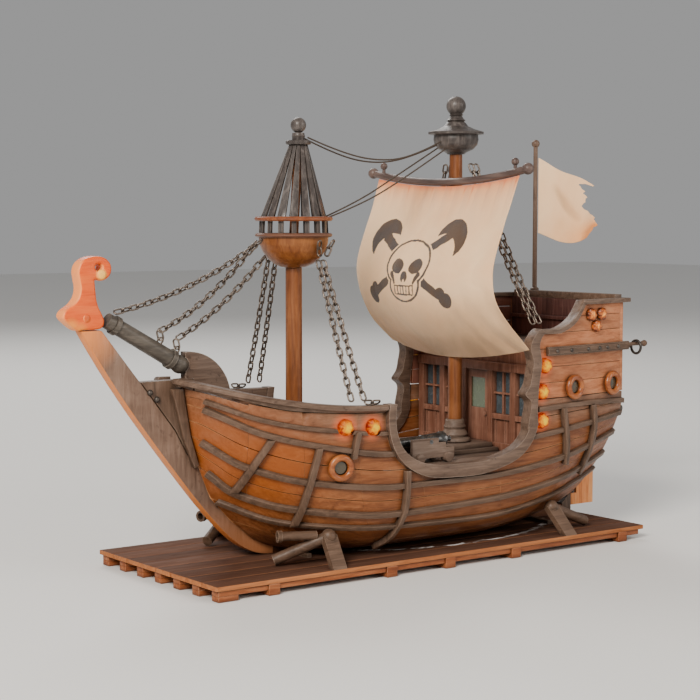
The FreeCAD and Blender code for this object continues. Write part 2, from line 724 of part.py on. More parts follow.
def make_cannon():
    """A small gun on a stepped carriage, muzzle towards the bow."""
    x, y, z = 2.0, -41.0, 78.0
    profile = [(0, -33), (2.8, -33), (4.2, -30), (4.2, -28), (3.4, -26), (3.9, 2), (4.6, 3), (4.6, 5),
               (4.4, 6), (5.4, 20), (6.0, 21), (6.0, 24), (3.4, 26.5), (1.5, 28), (2.2, 30.5), (0, 32)]
    pts = [Vec(x + t, y, z + BASE_HEIGHT + r) for r, t in profile]
    face = Part.Face(Part.makePolygon(pts + [pts[0]]))
    barrel = face.revolve(Vec(x, y, z + BASE_HEIGHT), Vec(1, 0, 0), 360)
    bore = strut(at(x - 34, y, z), at(x - 8, y, z), 1.5)
    trunnion = strut(at(x + 6, y - 9.4, z), at(x + 6, y + 9.4, z), 1.5)
    save("cannon_barrel", [barrel.cut(bore).fuse(trunnion).removeSplitter()])
    cheeks = []
    steps = [(-12, WAIST_DECK_Z + 4), (-12, 80.5), (13, 80.5), (13, 77), (20, 77), (20, 73),
             (28, 73), (28, WAIST_DECK_Z + 4)]
    for s in (-1, 1):
        outline = side_face([(x + a, b) for a, b in steps], False)
        y0, y1 = sorted((y + s * 6.6, y + s * 9.2))
        cheeks.append(extrude_y(outline, y0, y1))
    bed = box(x - 12, x + 15, y - 6.7, y + 6.7, WAIST_DECK_Z + 4, WAIST_DECK_Z + 7)
    body = cheeks[0].fuse(cheeks[1]).fuse(bed)
    seat = strut(at(x + 6, y - 12, z), at(x + 6, y + 12, z), 1.55)
    body = body.cut(seat)
    for wx in (x - 6, x + 21):
        for s in (-1, 1):
            a = at(wx, y + s * 6.0, WAIST_DECK_Z + 3.9)
            b = at(wx, y + s * 12.4, WAIST_DECK_Z + 3.9)
            body = body.fuse(strut(a, b, 3.7))
    save("cannon_carriage", [body.removeSplitter()])


# ---------------------------------------------------------------- fittings
PORTHOLES = ((-94, 70.5), (127, 114.5), (174, 114.5))
LAMPS = ((-90, 98.5), (-68, 97.5), (95.4, 132.6), (92.4, 113), (92.4, 90.8))


def hull_frame(x, z, side):
    n = outward(x, z)
    n = Vec(n.x, side * n.y, n.z)
    return at(x, side * half_breadth(x, z), z), n


def make_fittings():
    rings, lamps = [], []
    for x, z in PORTHOLES:
        for side in (-1, 1):
            spot, n = hull_frame(x, z, side)
            rings.append(Part.makeTorus(7.35, 2.35, spot + n * 2.9, n))
    for x, z in LAMPS:
        for side in (-1, 1):
            spot, n = hull_frame(x, z, side)
            lamps.append(dome(x, z, 6.2, 4.6, side, 0.45))
    save("porthole_rings", rings)
    save("lamp_lenses", lamps)
    ornaments = []
    for side in (-1, 1):
        for dx, dz, r in ((-6.5, 3.5, 5.2), (6.5, 3.5, 5.2), (0, -5.6, 4.8)):
            x = 154 + dx
            ornaments.append(dome(x, 166 + dz, r, 3.8, side, 1.0, beam(x)))
    save("stern_ornaments", ornaments)
    bolts = []
    for side in (-1, 1):
        for x, z in ((-208.9, 124), (-203.5, 119)):
            place = at(x + 3, side * (STEM_HALF + 0.05), z)
            head = Part.makeSphere(2.2, place)
            keep = Part.makeBox(20, 20, 20, place + Vec(-10, 0 if side > 0 else -20, -10))
            bolts.append(head.common(keep))
        for x in (106, 122, 142, 156, 166, 180):
            bolts.append(dome(x, 143.2, 1.5, 1.2, side, 4.0, beam(x)))
        bolts.append(Part.makeSphere(3.6, at(194.2, side * 58, 92)))
    save("bolts", bolts)


def make_rudder():
    blade = box(199.6, 221, -2.4, 2.4, 6, 64)
    lead = Part.makeCylinder(2.4, 58, at(RUDDER_AXIS_X, 0, 6))
    web = box(RUDDER_AXIS_X, 200, -2.4, 2.4, 6, 64)
    body = blade.fuse(web).fuse(lead)
    slope = side_face([(221.5, 64.5), (221.5, 40), (210, 64.5)], False)
    body = body.cut(extrude_y(slope, -5, 5))
    for z in (16, 44):
        body = body.cut(box(RUDDER_AXIS_X - 4, RUDDER_AXIS_X + 4.6, -5, 5, z - 0.4, z + 6.4))
    pin = Part.makeCylinder(PINTLE_R, 52, at(RUDDER_AXIS_X, 0, 9))
    save("rudder", [body.fuse(pin).removeSplitter()])
    irons = []
    for z in (16, 44):
        eye = Part.makeCylinder(3.2, 6, at(RUDDER_AXIS_X, 0, z))
        plate = box(194.2, RUDDER_AXIS_X, -2.2, 2.2, z, z + 6)
        bore = Part.makeCylinder(PINTLE_R + PINTLE_PLAY, 8, at(RUDDER_AXIS_X, 0, z - 1))
        irons.append(eye.fuse(plate).cut(bore).removeSplitter())
    save("rudder_irons", irons)


# ---------------------------------------------------------------- spars
def bowsprit_shape(grow=0.0):
    heel = at(-179, 0, 142)
    tip = at(-236.5, 0, 175)
    run = tip - heel
    cone = Part.makeCone(6.0 + grow, 5.5 + grow, run.Length, heel, run)
    return cone.fuse(Part.makeSphere(6.5 + grow, heel)), heel, tip


def spar_collar(a, b, along, inner, outer, length):
    run = b - a
    spot = a + run * along
    tube = Part.makeCylinder(outer, length, spot, run)
    return tube.cut(Part.makeCylinder(inner, length * 3, spot - run.normalize() * length, run))


def make_spars():
    sprit, heel, tip = bowsprit_shape()
    save("bowsprit", [sprit.removeSplitter()])
    collars = []
    for along, inner in ((0.1, 6.05), (0.86, 5.67)):
        collars.append(spar_collar(heel, tip, along, inner, inner + 1.1, 3.4))
    save("spar_collars", collars)
    outline = [line_edge((-138.6, 118), (-138.6, FORE_DECK_Z + 0.1)),
               line_edge((-138.6, FORE_DECK_Z + 0.1), (-165.5, FORE_DECK_Z + 0.1)),
               line_edge((-165.5, FORE_DECK_Z + 0.1), (-169.6, 131.8)),
               line_edge((-169.6, 131.8), (-176, 131.8)),
               line_edge((-176, 131.8), (-176, 150.8)),
               Part.Arc(at(-176, 0, 150.8), at(-151, 0, 142.4), at(-138.6, 0, 118)).toShape()]
    board = extrude_y(Part.Face(Part.Wire(Part.__sortEdges__(outline))), -3.4, 3.4)
    save("bow_board", [board.cut(bowsprit_shape(0.1)[0])])


def band_about(x, inner, outer, low, high):
    """A hoop about a vertical axis with chamfered outer edges."""
    profile = [(inner, low), (outer - 1, low), (outer, low + 1), (outer, high - 1),
               (outer - 1, high), (inner, high)]
    pts = [at(x + r, 0, z) for r, z in profile]
    face = Part.Face(Part.makePolygon(pts + [pts[0]]))
    return face.revolve(at(x, 0, 0), Vec(0, 0, 1), 360)


def stave(turn, foot, head):
    """A flat bar between two levels, each (centre x, radius, height, half width, thickness)."""
    sections = []
    for x, r, z, half, thick in (foot, head):
        corners = []
        for a, b in ((r, -half), (r, half), (r - thick, half), (r - thick, -half)):
            corners.append(at(x + a * math.cos(turn) - b * math.sin(turn),
                              a * math.sin(turn) + b * math.cos(turn), z))
        sections.append(Part.makePolygon(corners + [corners[0]]))
    return Part.makeLoft(sections, True, True)


def make_foremast():
    x, top = FOREMAST_X, NEST_TOP_X
    mast = turned([(FOREMAST_R, 74), (FOREMAST_R, FORE_DECK_Z + 0.1), (9, FORE_DECK_Z + 0.1),
                   (9, FORE_DECK_Z + 2.4), (7.6, FORE_DECK_Z + 3.4), (FOREMAST_R, FORE_DECK_Z + 4.5),
                   (FOREMAST_R - 0.2, 208), (5.2, 212), (5.2, 232)], x)
    topmast = strut(at(x, 0, 231), at(top, 0, 297.6), 3.4)
    save("foremast", [mast.fuse(topmast).removeSplitter()])
    arc = [(6.05, 208.2), (9.6, 208.8), (14.6, 211.2), (19.4, 215.2), (23, 220.4), (25, 225.6),
           (25.5, 230.4)]
    bowl = turned(arc, x).cut(Part.makeCylinder(FOREMAST_R, 30, at(x, 0, 204)))
    cup = turned([(18, 221), (21.5, 225), (22.4, 231)], x)
    save("nest_bowl", [bowl.cut(cup)])
    save("nest_rings", [band_about(x, 22.0, 28.3, 230.5, 233.4), band_about(x, 19.6, 28.6, 242.2, 245.4)])
    posts, slats = [], []
    for i in range(16):
        turn = 2 * math.pi * (i + 0.5) / 16
        posts.append(stave(turn, (x, 25.4, 233.5, 1.7, 1.8), (x, 25.0, 242.1, 1.7, 1.8)))
        slats.append(stave(turn, (x, 23.8, 245.5, 2.9, 1.8), (top, 6.8, 297.5, 1.15, 1.3)))
    save("nest_balusters", posts)
    save("nest_slats", slats)
    cap = turned([(8.6, 297.7), (9.3, 298.6), (9.3, 300), (8.6, 300.8), (4.6, 301), (4.6, 303.4),
                  (5.0, 304), (4.6, 304.6), (4.4, 306.2)], top)
    ball = Part.makeSphere(5.7, at(top, 0, 311.8))
    trucks = [cap.fuse(ball).removeSplitter()]
    x = MAINMAST_X
    head = turned([(4.6, 323.2), (5.6, 324.4), (4.2, 325.8)], x).fuse(Part.makeSphere(7.6, at(x, 0, 331)))
    trucks.append(head.removeSplitter())
    save("mast_trucks", trucks)


def make_mainmast():
    x = MAINMAST_X
    foot = 74.5
    mast = turned([(MAINMAST_R, foot), (MAINMAST_R, 200), (5.0, 293.5)], x)
    save("mainmast", [mast])
    stack = turned([(12, foot - 6), (12.6, foot - 5), (12, foot - 3), (9.4, foot - 2), (10.4, foot),
                    (9.4, foot + 2), (8.0, foot + 4), (8.8, foot + 6), (7.6, foot + 8),
                    (7.6, foot + 11), (6.6, foot + 12)], x)
    stack = stack.cut(turned([(MAINMAST_R + 0.02, foot), (MAINMAST_R + 0.02, foot + 20)], x))
    lower = box(46, 94, -27, 27, WAIST_DECK_Z + 0.1, WAIST_DECK_Z + 3)
    upper = box(52, 92, -22, 22, WAIST_DECK_Z + 3.1, foot - 6.1)
    save("mast_platform", [lower, upper, stack])
    head = turned([(6.6, 293.7), (8, 295), (13.5, 297.5), (16.6, 301), (17.6, 305), (17.2, 308.5),
                   (21.6, 309.2), (21.6, 311), (15, 313), (9.5, 315.4), (7.6, 318), (6.4, 319),
                   (7.4, 320), (5.8, 321.5), (4.8, 323.1)], x)
    save("masthead", [head])


def make_yard():
    sag = 8.5
    mid = at(YARD_X, 0, YARD_Z)
    left = at(YARD_X, -YARD_HALF, YARD_Z + sag)
    right = at(YARD_X, YARD_HALF, YARD_Z + sag)
    path = Part.Wire([Part.Arc(left, mid, right).toShape()])
    ring_face = Part.Wire([Part.makeCircle(2.9, left, Vec(0, 1, -0.18))])
    pole = path.makePipeShell([ring_face], True, False)
    for side in (-1, 1):
        end = left if side < 0 else right
        pole = pole.fuse(Part.makeSphere(4.4, end))
        stud = at(YARD_X, side * (YARD_HALF - 14), YARD_Z + sag - 2)
        pole = pole.fuse(Part.makeCylinder(1.3, 7, stud))
        pole = pole.fuse(Part.makeSphere(2.9, stud + Vec(0, 0, 7.5)))
    save("yard", [pole.removeSplitter()])


def yard_height(y):
    return YARD_Z + 8.5 * (y / YARD_HALF) ** 2


SAIL_ROWS = ((0.0, 0.0, 0.0), (0.18, 8.0, 3.0), (0.36, 17.5, 6.5), (0.54, 24.5, 9.0),
             (0.7, 22.0, 9.5), (0.86, 8.5, 9.0), (1.0, -11.0, 8.0))


def sail_point(across, down, push, crown, back):
    """A point of the sail: across -1..1, down 0 at the yard to 1 at the foot."""
    half = 85.5 - 3.0 * math.sin(math.pi * down)
    y = across * half
    head = yard_height(y) - 3.6
    foot = 146.0 - 10.0 * (1 - across ** 2)
    z = head + (foot - head) * down
    x = YARD_X - push - crown * (1 - across ** 2) + back
    return at(x, y, z)


def make_sail():
    front, rear = [], []
    for down, push, crown in SAIL_ROWS:
        front.append([sail_point(-1 + i / 4, down, push, crown, -0.5) for i in range(9)])
        rear.append([sail_point(-1 + i / 4, down, push, crown, 0.5) for i in range(9)])
    save("sail", [shell_solid(front, rear)])


FLAG_POLE = (192.0, 40.0)
FLAG_RUN = (0.85, -0.53)


def make_flag():
    px, py = FLAG_POLE
    pole = turned([(3.6, 183.6), (3.6, 185), (2.0, 186.2), (1.8, 303.5)], px, py)
    ball = Part.makeSphere(3.4, at(px, py, 306))
    save("flag_pole", [pole.fuse(ball).removeSplitter()])
    front, rear = [], []
    side = Vec(-FLAG_RUN[1], FLAG_RUN[0], 0)
    for i in range(7):
        reach = 2.4 + 56 * i / 6
        wave = 2.6 * math.sin(i * 1.15)
        rows = ([], [])
        for j in range(5):
            low = 231.5 - 8.5 * math.sin(math.pi * (i / 6) ** 1.2)
            high = 293.5 - 22 * (i / 6) ** 0.95
            z = low + (high - low) * j / 4
            spot = at(px + FLAG_RUN[0] * reach, py + FLAG_RUN[1] * reach, z)
            rows[0].append(spot + side * (wave - 0.4))
            rows[1].append(spot + side * (wave + 0.4))
        front.append(rows[0])
        rear.append(rows[1])
    save("flag", [shell_solid(front, rear)])


# ---------------------------------------------------------------- chains and ropes
def make_link():
    """One stadium link along X, lying in the X-Y plane, centred on the origin."""
    bend = LINK_HALF_WIDTH
    half = (LINK_PITCH + 0.1) / 2 + LINK_WIRE - bend
    path = Part.Wire([
        Part.makeLine(Vec(-half, bend, 0), Vec(half, bend, 0)),
        Part.Arc(Vec(half, bend, 0), Vec(half + bend, 0, 0), Vec(half, -bend, 0)).toShape(),
        Part.makeLine(Vec(half, -bend, 0), Vec(-half, -bend, 0)),
        Part.Arc(Vec(-half, -bend, 0), Vec(-half - bend, 0, 0), Vec(-half, bend, 0)).toShape()])
    wire = Part.Wire([Part.makeCircle(LINK_WIRE, Vec(-half, bend, 0), Vec(1, 0, 0))])
    return path.makePipeShell([wire], True, False)


def chain(link, start, end, sag):
    """Links threaded through one another along a sagging line."""
    a, b = at(*start), at(*end)
    span = (b - a).Length
    length = span * (1 + 8.0 / 3.0 * (sag / span) ** 2)
    count = int(length / LINK_PITCH)
    fine = []
    for i in range(401):
        t = i / 400
        fine.append(a + (b - a) * t + Vec(0, 0, -4 * sag * t * (1 - t)))
    travel = [0.0]
    for p, q in zip(fine, fine[1:]):
        travel.append(travel[-1] + (q - p).Length)
    lead = (travel[-1] - count * LINK_PITCH) / 2
    spots = []
    k = 0
    for i in range(count + 1):
        goal = lead + i * LINK_PITCH
        while k < 399 and travel[k + 1] < goal:
            k += 1
        part = (goal - travel[k]) / (travel[k + 1] - travel[k])
        spots.append(fine[k] + (fine[k + 1] - fine[k]) * part)
    links = []
    for i in range(count):
        p, q = spots[i], spots[i + 1]
        turn = FreeCAD.Rotation(Vec(1, 0, 0), q - p)
        roll = FreeCAD.Rotation(Vec(1, 0, 0), 45 + 90 * (i % 2))
        piece = link.copy()
        piece.Placement = FreeCAD.Placement((p + q) * 0.5, turn.multiply(roll))
        links.append(piece)
    return links


CHAINS = {
    "chains_bow": [((-229.9, 0, 180.2), (-112, -4, 228.4), 7.0), ((-195.8, -1, 166), (-111.4, 4, 227.4), 7.5),
                   ((-194.8, -2, 160.4), (-196, -1.4, 166.2), 0.0),
                   ((-182, 0, 159.6), (-106, 0, 217.6), 5.5),
                   ((-180.6, 0, 153.4), (-182, 0, 159.4), 0.0)],
    "chains_fore": [((-84.6, -75.5, 116.6), (-75, -22, 213.5), 1.5),
                    ((-73.6, -75.8, 116.2), (-70.5, -21, 214), 1.5),
                    ((-75.2, -23.5, 215.2), (-80.5, -31.2, 229.6), -1.0),
                    ((-69.4, -22.8, 215.6), (-65.5, -29.2, 229.6), -1.0),
                    ((-73.5, -76.2, 114.9), (-60.5, -76.2, 114.6), 0.0),
                    ((-73.5, 75.5, 116.2), (-84.5, 27.6, 219.5), 1.5),
                    ((-62.8, 75.8, 116), (-78, 27.8, 219.5), 1.5),
                    ((-88, 74.2, 115.9), (-76, 75.6, 115.2), 0.0)],
    "chains_main": [((93, -68.6, 162.6), (74, -14.4, 287), 4.0),
                    ((99.5, -68.6, 163), (79.5, -13.6, 287), 4.0),
                    ((93, 68.6, 162.6), (74, 14.4, 287), 4.0), ((99.5, 68.6, 163), (79.5, 13.6, 287), 4.0)],
}


def make_chains():
    link = make_link()
    for node, runs in CHAINS.items():
        links = []
        for start, end, sag in runs:
            links.extend(chain(link, start, end, sag))
        save(node, links)


ROPES = {
    "stay_upper_port": [(-70.6, -2.5, 303), (-45, -2.6, 294), (-10, -2.8, 287), (25, -3.0, 290),
                        (54.2, -3.0, 303)],
    "stay_upper_starboard": [(-70.6, 2.5, 302.6), (-40, 2.6, 290.5), (-5, 2.8, 285), (28, 3.0, 290),
                             (55.0, 3.0, 300.5)],
    "stay_lower_port": [(-52.4, -4.5, 245.2), (-25, -4.4, 254), (10, -4.2, 270), (57.6, -4.0, 297)],
    "stay_lower_starboard": [(-52.4, 4.5, 244.4), (-20, 4.4, 256.5), (15, 4.2, 275.5), (57.0, 4.0, 298.4)],
}


def cord_tube(node, points):
    """A tube of straight runs joined by tangent arcs."""
    pts = [at(*p) for p in points]
    runs = [(q - p).Length for p, q in zip(pts, pts[1:])]
    edges = []
    here = pts[0]
    for i in range(1, len(pts) - 1):
        back = (pts[i - 1] - pts[i]).normalize()
        ahead = (pts[i + 1] - pts[i]).normalize()
        turn = math.pi - back.getAngle(ahead)
        cut = 0.45 * min(runs[i - 1], runs[i])
        radius = cut / math.tan(turn / 2)
        print("  ", node, "arc radius", round(radius, 1), "run", round(runs[i - 1], 1))
        a = pts[i] + back * cut
        b = pts[i] + ahead * cut
        centre = pts[i] + (back + ahead).normalize() * math.hypot(radius, cut)
        mid = centre + (pts[i] - centre).normalize() * radius
        edges.append(Part.makeLine(here, a))
        edges.append(Part.Arc(a, mid, b).toShape())
        here = b
    edges.append(Part.makeLine(here, pts[-1]))
    path = Part.Wire(edges)
    ring_wire = Part.Wire([Part.makeCircle(ROPE_R, pts[0], pts[1] - pts[0])])
    tube = path.makePipeShell([ring_wire], True, False)
    ratio = tube.Volume / (math.pi * ROPE_R ** 2 * path.Length)
    print("  ", node, "length", round(path.Length, 1), "volume ratio", round(ratio, 4))
    return tube


def make_ropes():
    for node, points in ROPES.items():
        save(node, [cord_tube(node, points)])


def main():
    make_base()
    sprit = bowsprit_shape(0.05)[0]
    make_backbone()
    make_figurehead(sprit)
    prism = waist_prism()
    make_planking(prism)
    clear = []
    for x, z in PORTHOLES + LAMPS:
        for side in (-1, 1):
            spot, n = hull_frame(x, z, side)
            clear.append(Part.makeCylinder(7.0 if (x, z) in LAMPS else 10.6, 9, spot - n, n))
    make_wales(prism, clear)
    make_riders()
    trims = both(trim_band)
    make_castle(trims)
    save("waist_trims", trims)
    make_belt()
    make_inside()
    mast_hole = Part.makeCylinder(FOREMAST_R + 0.1, 20, at(FOREMAST_X, 0, FORE_DECK_Z - 10))
    deck("fore_deck", -166, -57.6, FORE_DECK_Z, 4.2, [mast_hole])
    deck("waist_deck", -54, 94.5, WAIST_DECK_Z, 4.8, [])
    deck("poop_deck", 100, 186.4, POOP_DECK_Z, 3.6, [])
    make_cabin()
    make_transom()
    make_cannon()
    make_fittings()
    make_rudder()
    make_spars()
    make_foremast()
    make_mainmast()
    make_yard()
    make_sail()
    make_flag()
    make_chains()
    make_ropes()
    save("trestle_fore", make_trestle((-96.5, 64.5, 20.6), (-98.4, 80), (-130, 44.5), -92)
         + make_clamps())
    save("trestle_aft", make_trestle((117, 63.6, 20.2), (122.5, 80), (159, 56.8), 143))
    print("nodes", len(NODES))


main()
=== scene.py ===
import math
import random

import bmesh
import bpy
from mathutils import Matrix, Vector, noise


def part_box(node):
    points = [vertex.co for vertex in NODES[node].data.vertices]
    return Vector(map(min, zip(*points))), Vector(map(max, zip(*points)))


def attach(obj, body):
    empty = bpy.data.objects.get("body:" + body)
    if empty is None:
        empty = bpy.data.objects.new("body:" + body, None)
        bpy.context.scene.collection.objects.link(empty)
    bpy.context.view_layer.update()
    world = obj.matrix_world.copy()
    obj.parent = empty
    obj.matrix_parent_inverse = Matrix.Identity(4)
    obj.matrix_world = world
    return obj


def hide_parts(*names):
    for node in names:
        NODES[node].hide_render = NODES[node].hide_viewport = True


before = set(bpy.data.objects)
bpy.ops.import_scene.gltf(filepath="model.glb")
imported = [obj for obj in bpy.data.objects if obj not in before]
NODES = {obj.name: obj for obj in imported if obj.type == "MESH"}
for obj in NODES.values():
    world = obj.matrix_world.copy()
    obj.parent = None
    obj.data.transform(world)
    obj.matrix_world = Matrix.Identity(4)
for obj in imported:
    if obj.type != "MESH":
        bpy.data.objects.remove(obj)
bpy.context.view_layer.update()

# Model sailing ship.  Metres; +X towards the stern, +Y to starboard, +Z up, floor at z = 0.
MM = 0.001
BASE_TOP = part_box("base_planks")[1].z


def at(x, y, z):
    """A point from millimetres, with the height measured from the top of the base."""
    return Vector((x * MM, y * MM, z * MM + BASE_TOP))


# ------------------------------------------------------------------ camera, lights, floor
CAMERA_PLACE = (-807.03, -1057.13, 246.53)
VIEW_DIRECTION = Vector((0.5903, 0.8036, -0.0769))


def make_camera():
    data = bpy.data.cameras.new("camera")
    data.lens = 90
    data.sensor_width = 36
    data.clip_start = 0.05
    data.clip_end = 30
    camera = bpy.data.objects.new("camera", data)
    camera.location = at(*CAMERA_PLACE)
    camera.rotation_mode = "QUATERNION"
    camera.rotation_quaternion = VIEW_DIRECTION.to_track_quat("-Z", "Y")
    bpy.context.scene.collection.objects.link(camera)
    bpy.context.scene.camera = camera


def area_light(name, place, target, size, power, colour):
    data = bpy.data.lights.new(name, "AREA")
    data.shape = "DISK"
    data.size = size
    data.energy = power
    data.color = colour
    lamp = bpy.data.objects.new(name, data)
    lamp.location = place
    aim = Vector(target) - Vector(place)
    lamp.rotation_mode = "QUATERNION"
    lamp.rotation_quaternion = aim.to_track_quat("-Z", "Y")
    bpy.context.scene.collection.objects.link(lamp)


def make_studio():
    target = (0, 0, 0.15)
    area_light("key", (-2.0, -1.35, 1.6), target, 1.0, 100, (1.0, 0.94, 0.86))
    area_light("fill", (1.3, -1.9, 0.9), target, 1.2, 20, (1.0, 0.94, 0.87))
    area_light("back", (0.6, 1.8, 1.6), target, 1.2, 24, (1.0, 0.98, 0.95))
    world = bpy.data.worlds.new("studio")
    world.use_nodes = True
    world.node_tree.nodes["Background"].inputs["Color"].default_value = (0.90, 0.90, 0.90, 1)
    world.node_tree.nodes["Background"].inputs["Strength"].default_value = 0.38
    bpy.context.scene.world = world
    paint = bpy.data.materials.new("floor_paint")
    paint.use_nodes = True
    shader = paint.node_tree.nodes["Principled BSDF"]
    shader.inputs["Base Color"].default_value = (0.80, 0.79, 0.77, 1)
    shader.inputs["Roughness"].default_value = 0.8
    mesh = bpy.data.meshes.new("floor")
    reach = 6.0
    corners = [(-reach, -reach, 0), (reach, -reach, 0), (reach, reach, 0), (-reach, reach, 0)]
    mesh.from_pydata(corners, [], [(0, 1, 2, 3)])
    mesh.materials.append(paint)
    floor = bpy.data.objects.new("floor", mesh)
    bpy.context.scene.collection.objects.link(floor)
    floor.location.z = -0.0002


# ------------------------------------------------------------------ material helpers
class Graph:
    """Short names for building one material's nodes."""

    def __init__(self, name):
        self.material = bpy.data.materials.new(name)
        self.material.use_nodes = True
        self.tree = self.material.node_tree
        self.shader = self.tree.nodes["Principled BSDF"]
        self.place = self.node("ShaderNodeTexCoord").outputs["Object"]

    def node(self, kind, **settings):
        made = self.tree.nodes.new(kind)
        for key, value in settings.items():
            setattr(made, key, value)
        return made

    def link(self, source, target):
        self.tree.links.new(source, target)

    def put(self, target, value):
        if hasattr(value, "links"):
            self.link(value, target)
        else:
            target.default_value = value

    def scaled(self, factors, shift=(0, 0, 0), turn=(0, 0, 0)):
        made = self.node("ShaderNodeMapping")
        self.link(self.place, made.inputs["Vector"])
        made.inputs["Scale"].default_value = factors
        made.inputs["Location"].default_value = shift
        made.inputs["Rotation"].default_value = turn
        return made.outputs["Vector"]

    def noise(self, vector, scale, detail, rough, twist=0.0):
        made = self.node("ShaderNodeTexNoise")
        self.link(vector, made.inputs["Vector"])
        made.inputs["Scale"].default_value = scale
        made.inputs["Detail"].default_value = detail
        made.inputs["Roughness"].default_value = rough
        made.inputs["Distortion"].default_value = twist
        return made.outputs["Fac"]

    def ramp(self, value, stops):
        made = self.node("ShaderNodeValToRGB")
        self.link(value, made.inputs["Fac"])
        bar = made.color_ramp
        while len(bar.elements) < len(stops):
            bar.elements.new(0.5)
        for element, (spot, colour) in zip(bar.elements, stops):
            element.position = spot
            element.color = (*colour, 1)
        return made.outputs["Color"]

    def spread(self, value, low, high, to_low=0.0, to_high=1.0):
        made = self.node("ShaderNodeMapRange")
        self.link(value, made.inputs["Value"])
        for key, number in (("From Min", low), ("From Max", high), ("To Min", to_low),
                            ("To Max", to_high)):
            made.inputs[key].default_value = number
        return made.outputs["Result"]

    def math(self, kind, a, b=0.0):
        made = self.node("ShaderNodeMath", operation=kind)
        self.put(made.inputs[0], a)
        self.put(made.inputs[1], b)
        return made.outputs["Value"]

    def mix(self, share, a, b, blend="MIX"):
        made = self.node("ShaderNodeMix", data_type="RGBA", blend_type=blend)
        self.put(made.inputs["Factor"], share)
        self.put(made.inputs[6], (*a, 1) if isinstance(a, tuple) else a)
        self.put(made.inputs[7], (*b, 1) if isinstance(b, tuple) else b)
        return made.outputs[2]

    def split(self, vector):
        made = self.node("ShaderNodeSeparateXYZ")
        self.link(vector, made.inputs["Vector"])
        return made.outputs

    def normal(self):
        return self.split(self.node("ShaderNodeNewGeometry").outputs["Normal"])

    def near(self, spots, inner, outer):
        """1 within `inner` of the listed (x, z) places, fading out at `outer`."""
        total = None
        parts = self.split(self.place)
        for x, z in spots:
            across = self.math("SUBTRACT", parts["X"], x * MM)
            up = self.math("SUBTRACT", parts["Z"], BASE_TOP + z * MM)
            square = self.math("ADD", self.math("MULTIPLY", across, across), self.math("MULTIPLY", up, up))
            share = self.spread(self.math("SQRT", square), inner * MM, outer * MM, 1, 0)
            total = share if total is None else self.math("MAXIMUM", total, share)
        return total

    def crevice(self, reach):
        """1 in the open, falling to 0 where surfaces close in."""
        made = self.node("ShaderNodeAmbientOcclusion", samples=6)
        made.inputs["Distance"].default_value = reach
        return made.outputs["AO"]

    def edge(self, radius):
        """Rises above 0 near sharp edges."""
        bevel = self.node("ShaderNodeBevel", samples=4)
        bevel.inputs["Radius"].default_value = radius
        flat = self.node("ShaderNodeNewGeometry").outputs["Normal"]
        dot = self.node("ShaderNodeVectorMath", operation="DOT_PRODUCT")
        self.link(bevel.outputs["Normal"], dot.inputs[0])
        self.link(flat, dot.inputs[1])
        return self.spread(dot.outputs["Value"], 0.97, 0.75)

    def bump(self, height, depth, strength):
        made = self.node("ShaderNodeBump")
        made.inputs["Strength"].default_value = strength
        made.inputs["Distance"].default_value = depth
        self.link(height, made.inputs["Height"])
        self.link(made.outputs["Normal"], self.shader.inputs["Normal"])

    def finish(self, colour, rough):
        self.put(self.shader.inputs["Base Color"], colour)
        self.put(self.shader.inputs["Roughness"], rough)
        return self.material


STAIN = 0.84    # how much darker the stained woods are than their listed colours
GRAIN = {"x": (10, 110, 110), "y": (110, 10, 110), "z": (110, 110, 10)}


